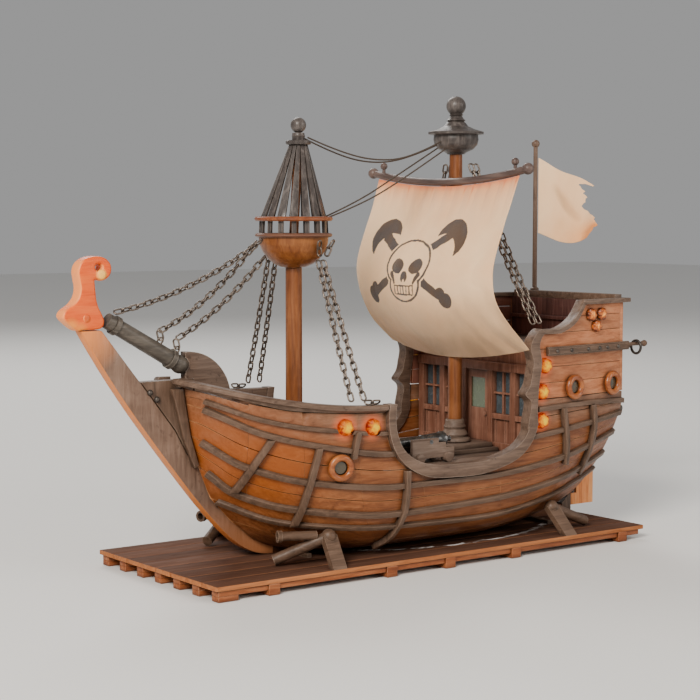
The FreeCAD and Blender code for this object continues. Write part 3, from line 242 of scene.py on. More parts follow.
def wood(name, dark, mid, light, along="x", worn=None, plank=None, rough=0.5, crevice_shade=0.55,
         shade_reach=0.005, tone=0.35, gloss=0.3, relief=0.00025, front=None, knots=0.0, upper=None,
         inside=False, halo=None, spots=(), sides=None, low=None, pale_ring=None):
    """Stained wood: long grain, tone patches, painted shade in the crevices and rubbed edges.

    plank gives each board its own tone, upper and low recolour the top and the foot, inside paints shade on
    the faces that look inwards, sides and front recolour the faces that look sideways and forwards, spots
    recolour the places near listed points, halo paints lamp light round the listed lamps, and the last
    argument draws a ragged pale, glossier ring round the hull.
    """
    g = Graph(name)
    dark, mid, light = (tuple(c * STAIN for c in colour) for colour in (dark, mid, light))
    stretch = g.scaled(GRAIN[along])
    grain = g.noise(stretch, 2.2, 7, 0.62, 0.9)
    fine = g.noise(stretch, 9.0, 5, 0.7, 0.3)
    streaks = g.math("ADD", g.math("MULTIPLY", grain, 0.7), g.math("MULTIPLY", fine, 0.3))
    colour = g.ramp(streaks, [(0.32, dark), (0.5, mid), (0.7, light)])
    patch = g.noise(g.scaled((9, 16, 22), (3, 1, 7)), 1.6, 3, 0.5, 0.6)
    colour = g.mix(g.spread(patch, 0.35, 0.68, 0, tone), colour, dark)
    lighter = g.noise(g.scaled((12, 12, 30), (11, 5, 2)), 1.9, 3, 0.5, 0.4)
    colour = g.mix(g.spread(lighter, 0.52, 0.72, 0, tone), colour, light)
    if plank:
        axis, pitch = plank
        cell = g.math("FLOOR", g.math("DIVIDE", g.split(g.place)[axis], pitch))
        pick = g.node("ShaderNodeTexWhiteNoise", noise_dimensions="1D")
        g.link(cell, pick.inputs["W"])
        shade = g.spread(pick.outputs["Value"], 0, 1, 0.72, 1.22)
        tint = g.node("ShaderNodeCombineXYZ")
        for socket in tint.inputs:
            g.link(shade, socket)
        colour = g.mix(1.0, colour, tint.outputs["Vector"], "MULTIPLY")
    if upper:
        tint, foot, head, share = upper
        high = g.spread(g.split(g.place)["Z"], BASE_TOP + foot * MM, BASE_TOP + head * MM)
        paler = g.ramp(streaks, [(0.3, TAUPE[0]), (0.52, tint), (0.72, TAUPE[2])])
        colour = g.mix(g.math("MULTIPLY", high, share), colour, paler)
    # painted shade: faces that look in towards the ship's middle are darkened
    if inside:
        across = g.split(g.place)["Y"]
        facing = g.math("MULTIPLY", g.normal()["Y"], g.math("SIGN", across))
        colour = g.mix(g.spread(facing, 0.3, -0.3, 0, 0.8), colour, (0.15, 0.06, 0.05))
    if knots:
        speck = g.noise(g.scaled((150, 150, 150), (5, 3, 8)), 1.5, 3, 0.6, 0.3)
        colour = g.mix(g.spread(speck, 0.62, 0.70, 0, knots), colour, dark)
    for places, inner, outer, share, tint in spots:
        colour = g.mix(g.math("MULTIPLY", g.near(places, inner, outer), share), colour, tint)
    # painted lamp light: an orange-red pool, with a faint emission, on the wood's outer faces round each
    # lamp
    if halo:
        outward = g.math("MULTIPLY", g.normal()["Y"], g.math("SIGN", g.split(g.place)["Y"]))
        spill = g.near(halo, 4.5, 13.0)
        spill = g.math("MULTIPLY", g.math("MULTIPLY", spill, spill), g.spread(outward, 0.1, 0.5))
        colour = g.mix(g.math("MULTIPLY", spill, 0.6), colour, (0.9, 0.16, 0.04))
        g.link(g.mix(spill, (0.0, 0.0, 0.0), (0.32, 0.05, 0.008)), g.shader.inputs["Emission Color"])
        g.shader.inputs["Emission Strength"].default_value = 1.0
    if low:
        tint, foot, head, share = low
        under = g.spread(g.split(g.place)["Z"], BASE_TOP + foot * MM, BASE_TOP + head * MM, share, 0)
        colour = g.mix(under, colour, tint)
    if sides:
        flat = g.math("ABSOLUTE", g.normal()["Z"])
        colour = g.mix(g.spread(flat, 0.85, 0.4, 0, 0.85), colour, g.ramp(streaks, sides))
    if front:
        facing = g.spread(g.normal()["X"], -0.35, -0.7)
        colour = g.mix(g.math("MULTIPLY", facing, 0.85), colour, front)
    if worn:
        rub = g.math("MULTIPLY", g.edge(0.0009), g.spread(patch, 0.35, 0.6))
        colour = g.mix(g.math("MULTIPLY", rub, 0.75), colour, worn)
    # painted shade: the colour darkens where surfaces close in, from ambient occlusion
    hollow = g.crevice(shade_reach)
    shadow = g.spread(hollow, 0.25, 0.85, crevice_shade, 0)
    colour = g.mix(shadow, colour, tuple(c * 0.18 for c in dark))
    finish_rough = g.spread(streaks, 0.3, 0.7, rough + 0.1, rough - 0.08)
    # a ragged pale ring on the base round the hull, whiter and glossier than the wood
    if pale_ring:
        middle, long_axis, short_axis, width = pale_ring
        parts = g.split(g.place)
        ahead = g.math("DIVIDE", g.math("SUBTRACT", parts["X"], middle * MM), long_axis * MM)
        across = g.math("DIVIDE", parts["Y"], short_axis * MM)
        reach = g.math("SQRT", g.math("ADD", g.math("MULTIPLY", ahead, ahead),
                                      g.math("MULTIPLY", across, across)))
        band = g.spread(g.math("ABSOLUTE", g.math("SUBTRACT", reach, 1.0)), 0.0, width, 1, 0)
        ragged = g.noise(g.scaled((45, 170, 45), (2, 9, 4)), 1.6, 6, 0.7, 0.8)
        pale_band = g.spread(g.math("ADD", g.math("MULTIPLY", band, 0.34), ragged), 0.80, 0.86)
        colour = g.mix(pale_band, colour, (0.86, 0.84, 0.82))
        finish_rough = g.math("SUBTRACT", finish_rough, g.math("MULTIPLY", pale_band, 0.55))
    g.bump(streaks, relief, 0.8)
    g.shader.inputs["Specular IOR Level"].default_value = gloss
    return g.finish(colour, finish_rough)


def metal(name, dark, light, rough=0.42, worn=(0.5, 0.46, 0.42), metallic=0.75, scale=1.0):
    """Dark bronze or blackened iron with mottling and rubbed edges."""
    g = Graph(name)
    cloud = g.noise(g.scaled((120 * scale,) * 3), 1.2, 6, 0.6, 0.5)
    pits = g.noise(g.scaled((700 * scale,) * 3), 1.0, 3, 0.6)
    colour = g.ramp(cloud, [(0.35, dark), (0.65, light)])
    rub = g.math("MULTIPLY", g.edge(0.0006), 0.6)
    colour = g.mix(rub, colour, worn)
    shadow = g.spread(g.crevice(0.003), 0.3, 0.9, 0.5, 0)
    colour = g.mix(shadow, colour, tuple(c * 0.2 for c in dark))
    g.bump(pits, 0.00012, 0.7)
    g.shader.inputs["Metallic"].default_value = metallic
    return g.finish(colour, g.spread(cloud, 0.3, 0.7, rough + 0.14, rough - 0.1))


def glass(name, tint, rough=0.12, spots=(), stain=(0, 0, 0)):
    """Dark glazing with a little dust, stained a second colour at some places."""
    g = Graph(name)
    dust = g.noise(g.scaled((160, 160, 160)), 1.0, 5, 0.6, 0.4)
    colour = g.mix(g.spread(dust, 0.42, 0.75, 0, 0.35), tint, tuple(c * 2.2 + 0.02 for c in tint))
    if spots:
        colour = g.mix(g.near(spots, 6.0, 6.5), colour, stain)
    g.shader.inputs["Specular IOR Level"].default_value = 0.6
    g.shader.inputs["Coat Weight"].default_value = 0.4
    g.shader.inputs["Coat Roughness"].default_value = 0.08
    return g.finish(colour, g.spread(dust, 0.3, 0.7, rough, rough + 0.25))


def glow(name, spots, strength):
    """A lamp lens lit from inside: yellow heart, orange body, red rim, uneven cast plastic."""
    g = Graph(name)
    cells = g.noise(g.scaled((300, 300, 300)), 1.0, 3, 0.6, 1.2)
    level = g.math("ADD", g.near(spots, 0.0, 7.0), g.spread(cells, 0.3, 0.7, -0.2, 0.2))
    stops = [(0.0, (0.06, 0.001, 0.0)), (0.16, (0.30, 0.012, 0.0)), (0.36, (0.62, 0.11, 0.0)),
             (0.58, (0.85, 0.33, 0.0)), (0.86, (0.95, 0.62, 0.0))]
    g.link(g.ramp(level, stops), g.shader.inputs["Emission Color"])
    g.shader.inputs["Emission Strength"].default_value = strength
    g.bump(cells, 0.0004, 0.6)
    g.shader.inputs["Specular IOR Level"].default_value = 0.2
    return g.finish(g.ramp(level, [(0.1, (0.10, 0.005, 0.001)), (0.8, (0.25, 0.09, 0.0))]), 0.45)


def carved(name, spots):
    """Orange lacquered carving: painted light at each ornament's middle, painted shade towards its edges and
    in patches, and a faint painted glow.
    """
    g = Graph(name)
    cloud = g.noise(g.scaled((420, 420, 420)), 1.0, 4, 0.6, 0.8)
    # painted highlight at each ornament's middle, falling off to painted shade at its edges, broken by noise
    level = g.math("ADD", g.near(spots, 0.0, 6.0), g.spread(cloud, 0.3, 0.7, -0.3, 0.35))
    colour = g.ramp(level, [(0.12, (0.045, 0.010, 0.003)), (0.42, (0.30, 0.060, 0.006)),
                            (0.78, (0.62, 0.17, 0.02)), (1.0, (0.85, 0.36, 0.07))])
    # painted glow: a faint emission on the carving, which holds no lamp
    g.link(g.ramp(level, [(0.4, (0.0, 0.0, 0.0)), (0.9, (1.0, 0.30, 0.03))]),
           g.shader.inputs["Emission Color"])
    g.shader.inputs["Emission Strength"].default_value = 0.10
    g.bump(cloud, 0.0006, 0.8)
    return g.finish(colour, 0.35)


CREAM = (0.92, 0.54, 0.28)
PALE = (1.0, 0.67, 0.39)
INK = (0.010, 0.014, 0.026)
INK_BROWN = (0.035, 0.018, 0.014)


def cloth(name, dyed, hot):
    """Cotton canvas: fine weave, stains, painted shade, and dye carried by the mesh's own attributes."""
    g = Graph(name)
    warp = g.node("ShaderNodeTexWave", wave_type="BANDS", bands_direction="Y")
    g.link(g.scaled((1, 1600, 1)), warp.inputs["Vector"])
    warp.inputs["Scale"].default_value = 1.0
    weft = g.node("ShaderNodeTexWave", wave_type="BANDS", bands_direction="Z")
    g.link(g.scaled((1, 1, 1600)), weft.inputs["Vector"])
    weft.inputs["Scale"].default_value = 1.0
    weave = g.math("MULTIPLY", warp.outputs["Fac"], weft.outputs["Fac"])
    stain = g.noise(g.scaled((10, 10, 10)), 1.7, 5, 0.55, 0.8)
    streak = g.noise(g.scaled((14, 70, 9)), 1.3, 5, 0.6, 0.7)
    colour = g.ramp(stain, [(0.3, CREAM), (0.66, PALE)])
    # painted shade: the cloth darkens towards the sail's foot, and towards the flag's foot and along its
    # long fold
    shade_and_darker_foot = g.node("ShaderNodeAttribute", attribute_name="shade_and_darker_foot").outputs["Fac"]
    slant = g.noise(g.scaled((20, 26, 12), turn=(0.7, 0, 0)), 1.6, 5, 0.6, 0.9)
    shade_and_darker_foot = g.math("MULTIPLY", shade_and_darker_foot, g.spread(slant, 0.3, 0.7, 0.72, 1.2))
    colour = g.mix(shade_and_darker_foot, colour, (0.30, 0.17, 0.08))
    dye = g.node("ShaderNodeAttribute", attribute_name="dye").outputs["Fac"]
    dye = g.math("MULTIPLY", dye, g.spread(streak, 0.25, 0.72, 0.9, 1.12))
    colour = g.mix(g.spread(dye, 0.0, 0.75, 0, 0.92), colour, dyed)
    colour = g.mix(g.spread(dye, 0.72, 1.05, 0, 0.75), colour, hot)
    ink = g.node("ShaderNodeAttribute", attribute_name="ink").outputs["Fac"]
    blot = g.noise(g.scaled((330, 330, 330)), 1.0, 4, 0.6, 0.3)
    wash = g.noise(g.scaled((60, 60, 60)), 1.0, 3, 0.5, 0.3)
    shade = g.mix(g.spread(wash, 0.4, 0.62), INK, INK_BROWN)
    print_edge = g.math("ADD", ink, g.spread(blot, 0.3, 0.7, -0.14, 0.14))
    colour = g.mix(g.spread(print_edge, 0.2, 0.7, 0, 0.93), colour, shade)
    g.bump(weave, 0.00008, 0.6)
    g.shader.inputs["Sheen Weight"].default_value = 0.25
    g.shader.inputs["Sheen Roughness"].default_value = 0.5
    g.shader.inputs["Specular IOR Level"].default_value = 0.15
    return g.finish(colour, 0.85)


def cord_fibre(name, dark, light):
    """Laid cord: slanting strands across a dark, waxed yarn."""
    g = Graph(name)
    lay = g.node("ShaderNodeTexWave", wave_type="BANDS", bands_direction="DIAGONAL")
    g.link(g.scaled((900, 900, 900)), lay.inputs["Vector"])
    lay.inputs["Scale"].default_value = 1.0
    lay.inputs["Distortion"].default_value = 1.0
    colour = g.ramp(lay.outputs["Fac"], [(0.2, dark), (0.8, light)])
    g.bump(lay.outputs["Fac"], 0.0002, 0.8)
    return g.finish(colour, 0.75)


# places on the hull's side as (x, z) in millimetres
LAMPS = [(-90, 98.5), (-68, 97.5), (95.4, 132.6), (92.4, 113), (92.4, 90.8)]
PORTHOLES = [(-94, 70.5), (127, 114.5), (174, 114.5)]
ORNAMENTS = [(147.5, 169.5), (160.5, 169.5), (154, 160.4)]
# dark, middle and light tones of a wood
GREY = ((0.050, 0.028, 0.017), (0.125, 0.072, 0.045), (0.22, 0.135, 0.092))
TAUPE = ((0.062, 0.034, 0.022), (0.148, 0.092, 0.063), (0.26, 0.172, 0.125))
HULL = ((0.10, 0.026, 0.007), (0.26, 0.083, 0.024), (0.42, 0.165, 0.062))
CASTLE = ((0.25, 0.075, 0.025), (0.52, 0.190, 0.080), (0.68, 0.31, 0.15))


def make_materials():
    made = {
        "base_wood": wood("base_wood_stain", (0.085, 0.036, 0.022), (0.135, 0.062, 0.038),
                          (0.19, 0.095, 0.062), worn=(0.60, 0.24, 0.09), plank=(1, 0.0205),
                          rough=0.75, gloss=0.1, tone=0.4,
                          pale_ring=(45, 110, 58, 0.12),
                          sides=[(0.3, (0.26, 0.075, 0.022)), (0.7, (0.55, 0.22, 0.085))]),
        "foot_wood": wood("foot_wood_stain", (0.15, 0.035, 0.01), (0.32, 0.09, 0.025), (0.55, 0.21, 0.08),
                          worn=(0.7, 0.42, 0.26), rough=0.5),
        "grey_wood": wood("grey_wood_stain", *GREY, worn=(0.40, 0.29, 0.21), rough=0.46),
        "grey_upright": wood("grey_upright_stain", *GREY, along="z", worn=(0.40, 0.29, 0.21), rough=0.46),
        "trim_upright": wood("trim_upright_stain", *TAUPE, along="z", rough=0.44),
        "trim_wood": wood("trim_wood_stain", *TAUPE, worn=(0.52, 0.42, 0.34), rough=0.44, relief=0.0004,
                          knots=0.85),
        "stem_wood": wood("stem_wood_stain", (0.10, 0.055, 0.036), (0.21, 0.125, 0.085), (0.34, 0.22, 0.16),
                          along="z", worn=(0.5, 0.3, 0.18), rough=0.44, front=(0.72, 0.22, 0.04), knots=0.5,
                          spots=[([(-258, 170)], 8, 34, 0.75, (0.85, 0.26, 0.05))],
                          low=((0.42, 0.15, 0.05), 4, 46, 0.75)),
        # hull_wood: low darkens the planks towards the keel, partly dark wood and partly painted shade under
        # the hull; halo paints lamp light round the lamps
        "hull_wood": wood("hull_plank_oil", *HULL, worn=(0.60, 0.30, 0.13), rough=0.38, relief=0.0003,
                          upper=((0.22, 0.115, 0.068), 85.5, 93.5, 0.705), halo=LAMPS,
                          spots=[([(-165, 88), (-150, 80), (-135, 72)], 12, 45, 0.7, (0.30, 0.070, 0.006))],
                          low=((0.03, 0.010, 0.004), 4, 26, 0.6)),
        # castle_wood: inside paints shade on the inward faces, and halo paints lamp light round the lamps
        "castle_wood": wood("castle_plank_oil", *CASTLE, worn=(0.70, 0.38, 0.2), plank=(2, 0.012),
                            rough=0.4, inside=True, halo=LAMPS),
        "rudder_wood": wood("rudder_plank_oil", (0.66, 0.17, 0.040), (1.0, 0.37, 0.11), (1.0, 0.52, 0.22),
                            along="z", worn=(0.7, 0.4, 0.22)),
        "inner_wood": wood("inner_panel_stain", (0.06, 0.022, 0.018), (0.16, 0.065, 0.055),
                           (0.27, 0.13, 0.105), along="z", worn=(0.42, 0.24, 0.18), plank=(1, 0.0126)),
        "cabin_wood": wood("cabin_panel_stain", (0.10, 0.035, 0.02), (0.24, 0.10, 0.06), (0.38, 0.19, 0.125),
                           along="z", worn=(0.48, 0.28, 0.2)),
        "deck_wood": wood("deck_plank_worn", (0.09, 0.055, 0.04), (0.20, 0.135, 0.10), (0.31, 0.225, 0.175),
                          plank=(1, 0.011), rough=0.55, crevice_shade=0.65),
        "mast_wood": wood("mast_stain", (0.10, 0.027, 0.007), (0.235, 0.074, 0.021), (0.36, 0.14, 0.05),
                          along="z", rough=0.36, shade_reach=0.008, crevice_shade=0.4),
        "bowl_wood": wood("bowl_stain", (0.12, 0.030, 0.006), (0.26, 0.083, 0.019), (0.40, 0.155, 0.045),
                          along="z", rough=0.36, shade_reach=0.008, crevice_shade=0.4),
        "pole_grey": wood("pole_grey_stain", (0.040, 0.033, 0.027), (0.10, 0.084, 0.068),
                          (0.19, 0.16, 0.13), rough=0.42, worn=(0.34, 0.29, 0.24), relief=0.00015),
        "spar_wood": wood("spar_stain", (0.055, 0.034, 0.03), (0.125, 0.082, 0.07), (0.21, 0.145, 0.12),
                          along="y", rough=0.42),
        "nest_red": wood("nest_red_stain", (0.11, 0.024, 0.009), (0.26, 0.072, 0.025), (0.40, 0.14, 0.058),
                         rough=0.36, worn=(0.55, 0.28, 0.15), low=((0.10, 0.05, 0.035), 236, 240, 0.8)),
        "nest_dark": wood("nest_dark_stain", (0.022, 0.018, 0.017), (0.070, 0.057, 0.052),
                          (0.20, 0.17, 0.155),
                          along="z", rough=0.36, worn=(0.30, 0.24, 0.20), knots=0.5),
        "ring_orange": wood("ring_lacquer", (0.13, 0.030, 0.006), (0.33, 0.085, 0.018), (0.62, 0.22, 0.06),
                            rough=0.3, gloss=0.5),
        "figure_wood": wood("figure_lacquer", (0.66, 0.055, 0.004), (0.92, 0.125, 0.010), (1.0, 0.20, 0.03),
                            rough=0.42, gloss=0.3, tone=0.2, crevice_shade=0.3, front=(1.0, 0.34, 0.09),
                            spots=[([(-243.0, 206.6)], 2.6, 4.6, 0.9, (1.0, 0.56, 0.10)),
                                   ([(-254.4, 177.2)], 1.2, 3.0, 0.75, (0.55, 0.10, 0.02)),
                                   ([(-266, 172), (-259, 168)], 2, 7, 0.6, (0.9, 0.36, 0.05))]),
        "dark_metal": metal("dark_bronze", (0.035, 0.03, 0.027), (0.12, 0.10, 0.085)),
        "chain_metal": metal("chain_bronze", (0.08, 0.062, 0.05), (0.24, 0.19, 0.155), rough=0.34,
                             worn=(0.70, 0.63, 0.55), metallic=0.75, scale=2.0),
        "gun_metal": metal("gun_iron", (0.03, 0.03, 0.03), (0.11, 0.11, 0.11), rough=0.3,
                           worn=(0.55, 0.6, 0.68)),
        "pane_glass": glass("pane_glass_dark", (0.045, 0.062, 0.072), spots=PORTHOLES,
                            stain=(0.055, 0.04, 0.018)),
        "door_glass": glass("door_glass_green", (0.075, 0.10, 0.055)),
        "lamp_red": glow("lamp_lens", LAMPS, 0.95),
        "carving": carved("carving_lacquer", ORNAMENTS),
        "sail_cloth": cloth("sail_canvas", (0.84, 0.36, 0.16), (0.70, 0.14, 0.035)),
        "flag_cloth": cloth("flag_cotton", (0.95, 0.42, 0.16), (0.62, 0.18, 0.03)),
        "rope": cord_fibre("rope_fibre", (0.02, 0.014, 0.01), (0.10, 0.07, 0.05)),
        "battery_plastic": metal("battery_case", (0.02, 0.02, 0.02), (0.04, 0.04, 0.04), metallic=0.0),
    }
    return made


NODE_FINISH = {
    "base_planks": "base_wood", "base_runners": "foot_wood", "base_feet": "foot_wood",
    "trestle_fore": "grey_wood", "trestle_aft": "grey_wood", "head_knee": "grey_upright",
    "wales": "grey_wood", "riders": "grey_upright", "cap_rails": "trim_wood", "bow_board": "trim_wood",
    "bowsprit": "pole_grey", "waist_trims": "trim_wood", "stem_post": "stem_wood", "keel": "hull_wood",
    "stern_post": "grey_upright", "planking_port": "hull_wood", "planking_starboard": "hull_wood",
    "castle_sides": "castle_wood", "rudder": "rudder_wood", "bulkheads": "cabin_wood",
    "transom": "inner_wood", "cabin_front": "cabin_wood", "cabin_door": "cabin_wood",
    "fore_deck": "deck_wood", "waist_deck": "deck_wood", "poop_deck": "deck_wood",
    "mast_platform": "deck_wood", "stern_belt": "grey_wood", "stern_ring": "dark_metal",
    "bolts": "dark_metal", "rudder_irons": "dark_metal", "spar_collars": "pole_grey",
    "masthead": "nest_dark", "mast_trucks": "nest_dark", "cannon_barrel": "gun_metal",
    "cannon_carriage": "deck_wood", "foremast": "mast_wood", "mainmast": "mast_wood",
    "nest_bowl": "bowl_wood", "flag_pole": "trim_upright", "yard": "spar_wood", "nest_rings": "nest_red",
    "nest_balusters": "nest_dark", "nest_slats": "nest_dark", "window_panes": "pane_glass",
    "door_pane": "door_glass", "porthole_rings": "ring_orange", "battery_box": "battery_plastic",
    "chains_bow": "chain_metal", "chains_fore": "chain_metal", "chains_main": "chain_metal",
}
SOFTENED = {"base_planks": 0.5, "base_runners": 0.5, "base_feet": 0.5, "wales": 0.5, "riders": 0.5,
            "cap_rails": 0.6, "waist_trims": 1.2, "head_knee": 0.6, "stem_post": 0.8, "transom": 0.3,
            "cabin_front": 0.35, "castle_sides": 0.4, "bow_board": 0.6, "rudder": 0.5,
            "cannon_carriage": 0.3, "mast_platform": 0.4, "planking_port": 0.3, "planking_starboard": 0.3,
            "nest_slats": 0.25, "stern_belt": 0.3, "fore_deck": 0.15, "waist_deck": 0.15, "poop_deck": 0.15}


def finish_nodes(materials):
    """Materials, softened arrises and smooth shading on the CAD nodes that stay."""
    for name, finish in NODE_FINISH.items():
        node = NODES[name]
        node.data.materials.clear()
        node.data.materials.append(materials[finish])
        weld = node.modifiers.new("weld", "WELD")
        weld.merge_threshold = 0.00001
        if name in SOFTENED:
            bevel = node.modifiers.new("soft_edge", "BEVEL")
            bevel.width = SOFTENED[name] * MM
            bevel.segments = 2
            bevel.limit_method = "ANGLE"
            bevel.angle_limit = math.radians(40)
        for face in node.data.polygons:
            face.use_smooth = True
        sharp = node.modifiers.new("sharp", "EDGE_SPLIT")
        sharp.split_angle = math.radians(38)


# ------------------------------------------------------------------ mesh helpers
def new_piece(name, verts, faces, material):
    """A smooth mesh piece on the ship's body."""
    mesh = bpy.data.meshes.new(name)
    mesh.from_pydata([tuple(v) for v in verts], [], faces)
    mesh.materials.append(material)
    for face in mesh.polygons:
        face.use_smooth = True
    piece = bpy.data.objects.new(name, mesh)
    bpy.context.scene.collection.objects.link(piece)
    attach(piece, "ship")
    return piece


# ------------------------------------------------------------------ ropes
ROPES = {
    "stay_upper_port": [(-70.6, -2.5, 303), (-45, -2.6, 294), (-10, -2.8, 287), (25, -3.0, 290),
                        (54.2, -3.0, 303)],
    "stay_upper_starboard": [(-70.6, 2.5, 302.6), (-40, 2.6, 290.5), (-5, 2.8, 285), (28, 3.0, 290),
                             (55.0, 3.0, 300.5)],
    "stay_lower_port": [(-52.4, -4.5, 245.2), (-25, -4.4, 254), (10, -4.2, 270), (57.6, -4.0, 297)],
    "stay_lower_starboard": [(-52.4, 4.5, 244.4), (-20, 4.4, 256.5), (15, 4.2, 275.5), (57.0, 4.0, 298.4)],
}
ROPE_THICK = 0.0012


def make_ropes(material):
    for name, points in ROPES.items():
        curve = bpy.data.curves.new(name + "_line", "CURVE")
        curve.dimensions = "3D"
        line = curve.splines.new("NURBS")
        line.points.add(len(points) - 1)
        for spot, place in zip(line.points, points):
            spot.co = (*at(*place), 1)
        line.order_u = 3
        line.use_endpoint_u = True
        line.resolution_u = 16
        curve.bevel_depth = ROPE_THICK / 2
        curve.bevel_resolution = 4
        curve.use_fill_caps = True
        curve.materials.append(material)
        rope = bpy.data.objects.new(name + "_rope", curve)
        bpy.context.scene.collection.objects.link(rope)
        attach(rope, "ship")
        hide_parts(name)


# ------------------------------------------------------------------ sail and flag
YARD_X = 62.6
YARD_Z = 272.0
YARD_HALF = 94.0
SAIL_ROWS = ((0.0, 0.0, 0.0), (0.18, 8.0, 3.0), (0.36, 17.5, 6.5), (0.54, 24.5, 9.0),
             (0.7, 22.0, 9.5), (0.86, 8.5, 9.0), (1.0, -11.0, 8.0))


def along_rows(rows, t, column):
    """Catmull-Rom value of a column between the rows' first entries."""
    i = max(k for k in range(len(rows) - 1) if rows[k][0] <= t)
    t0, t1 = rows[i][0], rows[i + 1][0]
    before = rows[max(0, i - 1)]
    after = rows[min(len(rows) - 1, i + 2)]
    v0, v1 = rows[i][column], rows[i + 1][column]
    s0 = (v1 - before[column]) / (t1 - before[0])
    s1 = (after[column] - v0) / (after[0] - t0)
    f = (t - t0) / (t1 - t0)
    run = t1 - t0
    return ((2 * f ** 3 - 3 * f ** 2 + 1) * v0 + (f ** 3 - 2 * f ** 2 + f) * run * s0
            + (3 * f ** 2 - 2 * f ** 3) * v1 + (f ** 3 - f ** 2) * run * s1)


def sail_place(across, down):
    """Sail point in millimetres: across -1 port to 1 starboard, down 0 yard to 1 foot."""
    push = along_rows(SAIL_ROWS, down, 1)
    crown = along_rows(SAIL_ROWS, down, 2)
    y = across * (85.5 - 3.0 * math.sin(math.pi * down))
    head = YARD_Z + 8.5 * (y / YARD_HALF) ** 2 - 3.4
    foot = 146.0 - 10.0 * (1 - across ** 2)
    z = head + (foot - head) * down
    x = YARD_X - push - crown * (1 - across ** 2)
    corner = abs(across) ** 3
    fold = 0.9 * math.sin(across * 21 + 2.2 * down) * math.exp(-((down - 0.02) / 0.16) ** 2)
    pull = 1.5 * corner * down ** 4 * math.sin(across * 30 + down * 18)
    sag = noise.noise(Vector((across * 2.3, down * 2.7, 0.4))) * 2.6 * math.sin(math.pi * down)
    slack = noise.noise(Vector((across * 6.0, down * 6.5, 3.1))) * 0.8 * math.sin(math.pi * down)
    x -= abs(fold) * 0.8 + pull + abs(slack) + sag
    if down > 0.85 and abs(across) < 0.15:
        x = min(x, 65.2)
    return x, y, z


def capsule(p, a, b, ra, rb):
    """Signed distance to a tapering round bar."""
    ab = (b[0] - a[0], b[1] - a[1])
    ap = (p[0] - a[0], p[1] - a[1])
    t = max(0.0, min(1.0, (ap[0] * ab[0] + ap[1] * ab[1]) / (ab[0] ** 2 + ab[1] ** 2)))
    return math.hypot(ap[0] - ab[0] * t, ap[1] - ab[1] * t) - (ra + (rb - ra) * t)


def oval(p, c, rx, ry, turn=0.0):
    dx, dy = p[0] - c[0], p[1] - c[1]
    ca, sa = math.cos(turn), math.sin(turn)
    u, v = (dx * ca + dy * sa) / rx, (-dx * sa + dy * ca) / ry
    return (math.hypot(u, v) - 1) * min(rx, ry)


EMBLEM = (9.5, 205.5)


def emblem(y, z):
    """Ink 0..1 of a plain skull over two crossed hooked bars, drawn from ovals and bars."""
    blur = 0.7
    wobble = (noise.noise(Vector((y * 0.16, z * 0.16, 1.0))), noise.noise(Vector((y * 0.16, z * 0.16, 7.0))))
    p = ((EMBLEM[0] - y) / 0.98 + wobble[0] * blur, (z - EMBLEM[1]) / 0.9 + wobble[1] * blur)
    bars = min(capsule(p, (-40, 26), (44, -24), 4.2, 3.4), capsule(p, (42, 30), (-42, -22), 4.0, 3.6))
    knobs = min(oval(p, (47, -26), 7.0, 6.5), oval(p, (-45, -24), 5.0, 8.0, 0.5))
    knobs = min(knobs, oval(p, (43, -19), 4.5, 4.0), oval(p, (-42, -17), 4.0, 4.5))
    hooks = 99.0
    for side in (-1, 1):
        q = (p[0] * side, p[1])
        blade = max(oval(q, (41, 25), 17, 17), -oval(q, (33, 13), 17.5, 16.5))
        hooks = min(hooks, blade)
    back = min(bars, knobs, hooks)
    head = min(oval(p, (0, 4), 26.5, 19.5), oval(p, (0, -14), 19.0, 14.5))
    halo = head - 2.2
    value = 1.0 if back < 0 and halo > 0 else 0.0
    if abs(head) < 0.9:
        value = max(value, 0.75)
    if head < 0:
        for side in (-1, 1):
            q = (p[0] * side, p[1])
            if oval(q, (11.4, 1.5), 7.8, 6.4, 0.25) < 0:
                value = 1.0
            if capsule(q, (17.5, -5), (12.5, -13), 2.2, 1.0) < 0:
                value = 0.8
        if max(oval(p, (0, -7.6), 4.4, 5.0), -oval(p, (0, -12.4), 1.5, 3.0)) < 0:
            value = 1.0
        if abs(p[1] + 15.0) < 0.6 and abs(p[0]) < 13.0:
            value = 1.0
        if abs(p[1] + 22.6) < 0.6 and abs(p[0]) < 11.0:
            value = 0.9
        if -22.6 < p[1] < -15.0 and abs(p[0]) < 12.5 and abs((p[0] + 40) % 4.0 - 2.0) > 1.4:
            value = 0.95
    return value


def sheet_piece(name, place, columns, rows, material, thick, attributes):
    """A sheet of cloth from place(across, down) with painted point attributes."""
    verts, faces = [], []
    values = {key: [] for key in attributes}
    for j in range(rows + 1):
        for i in range(columns + 1):
            a, d = -1 + 2 * i / columns, j / rows
            x, y, z = place(a, d)
            verts.append(at(x, y, z))
            for key, rule in attributes.items():
                values[key].append(rule(a, d, x, y, z))
    for j in range(rows):
        for i in range(columns):
            k = j * (columns + 1) + i
            faces.append((k, k + 1, k + columns + 2, k + columns + 1))
    piece = new_piece(name, verts, faces, material)
    for key, numbers in values.items():
        layer = piece.data.attributes.new(key, "FLOAT", "POINT")
        layer.data.foreach_set("value", numbers)
    solid = piece.modifiers.new("thickness", "SOLIDIFY")
    solid.thickness = thick * MM
    solid.offset = 0
    return piece


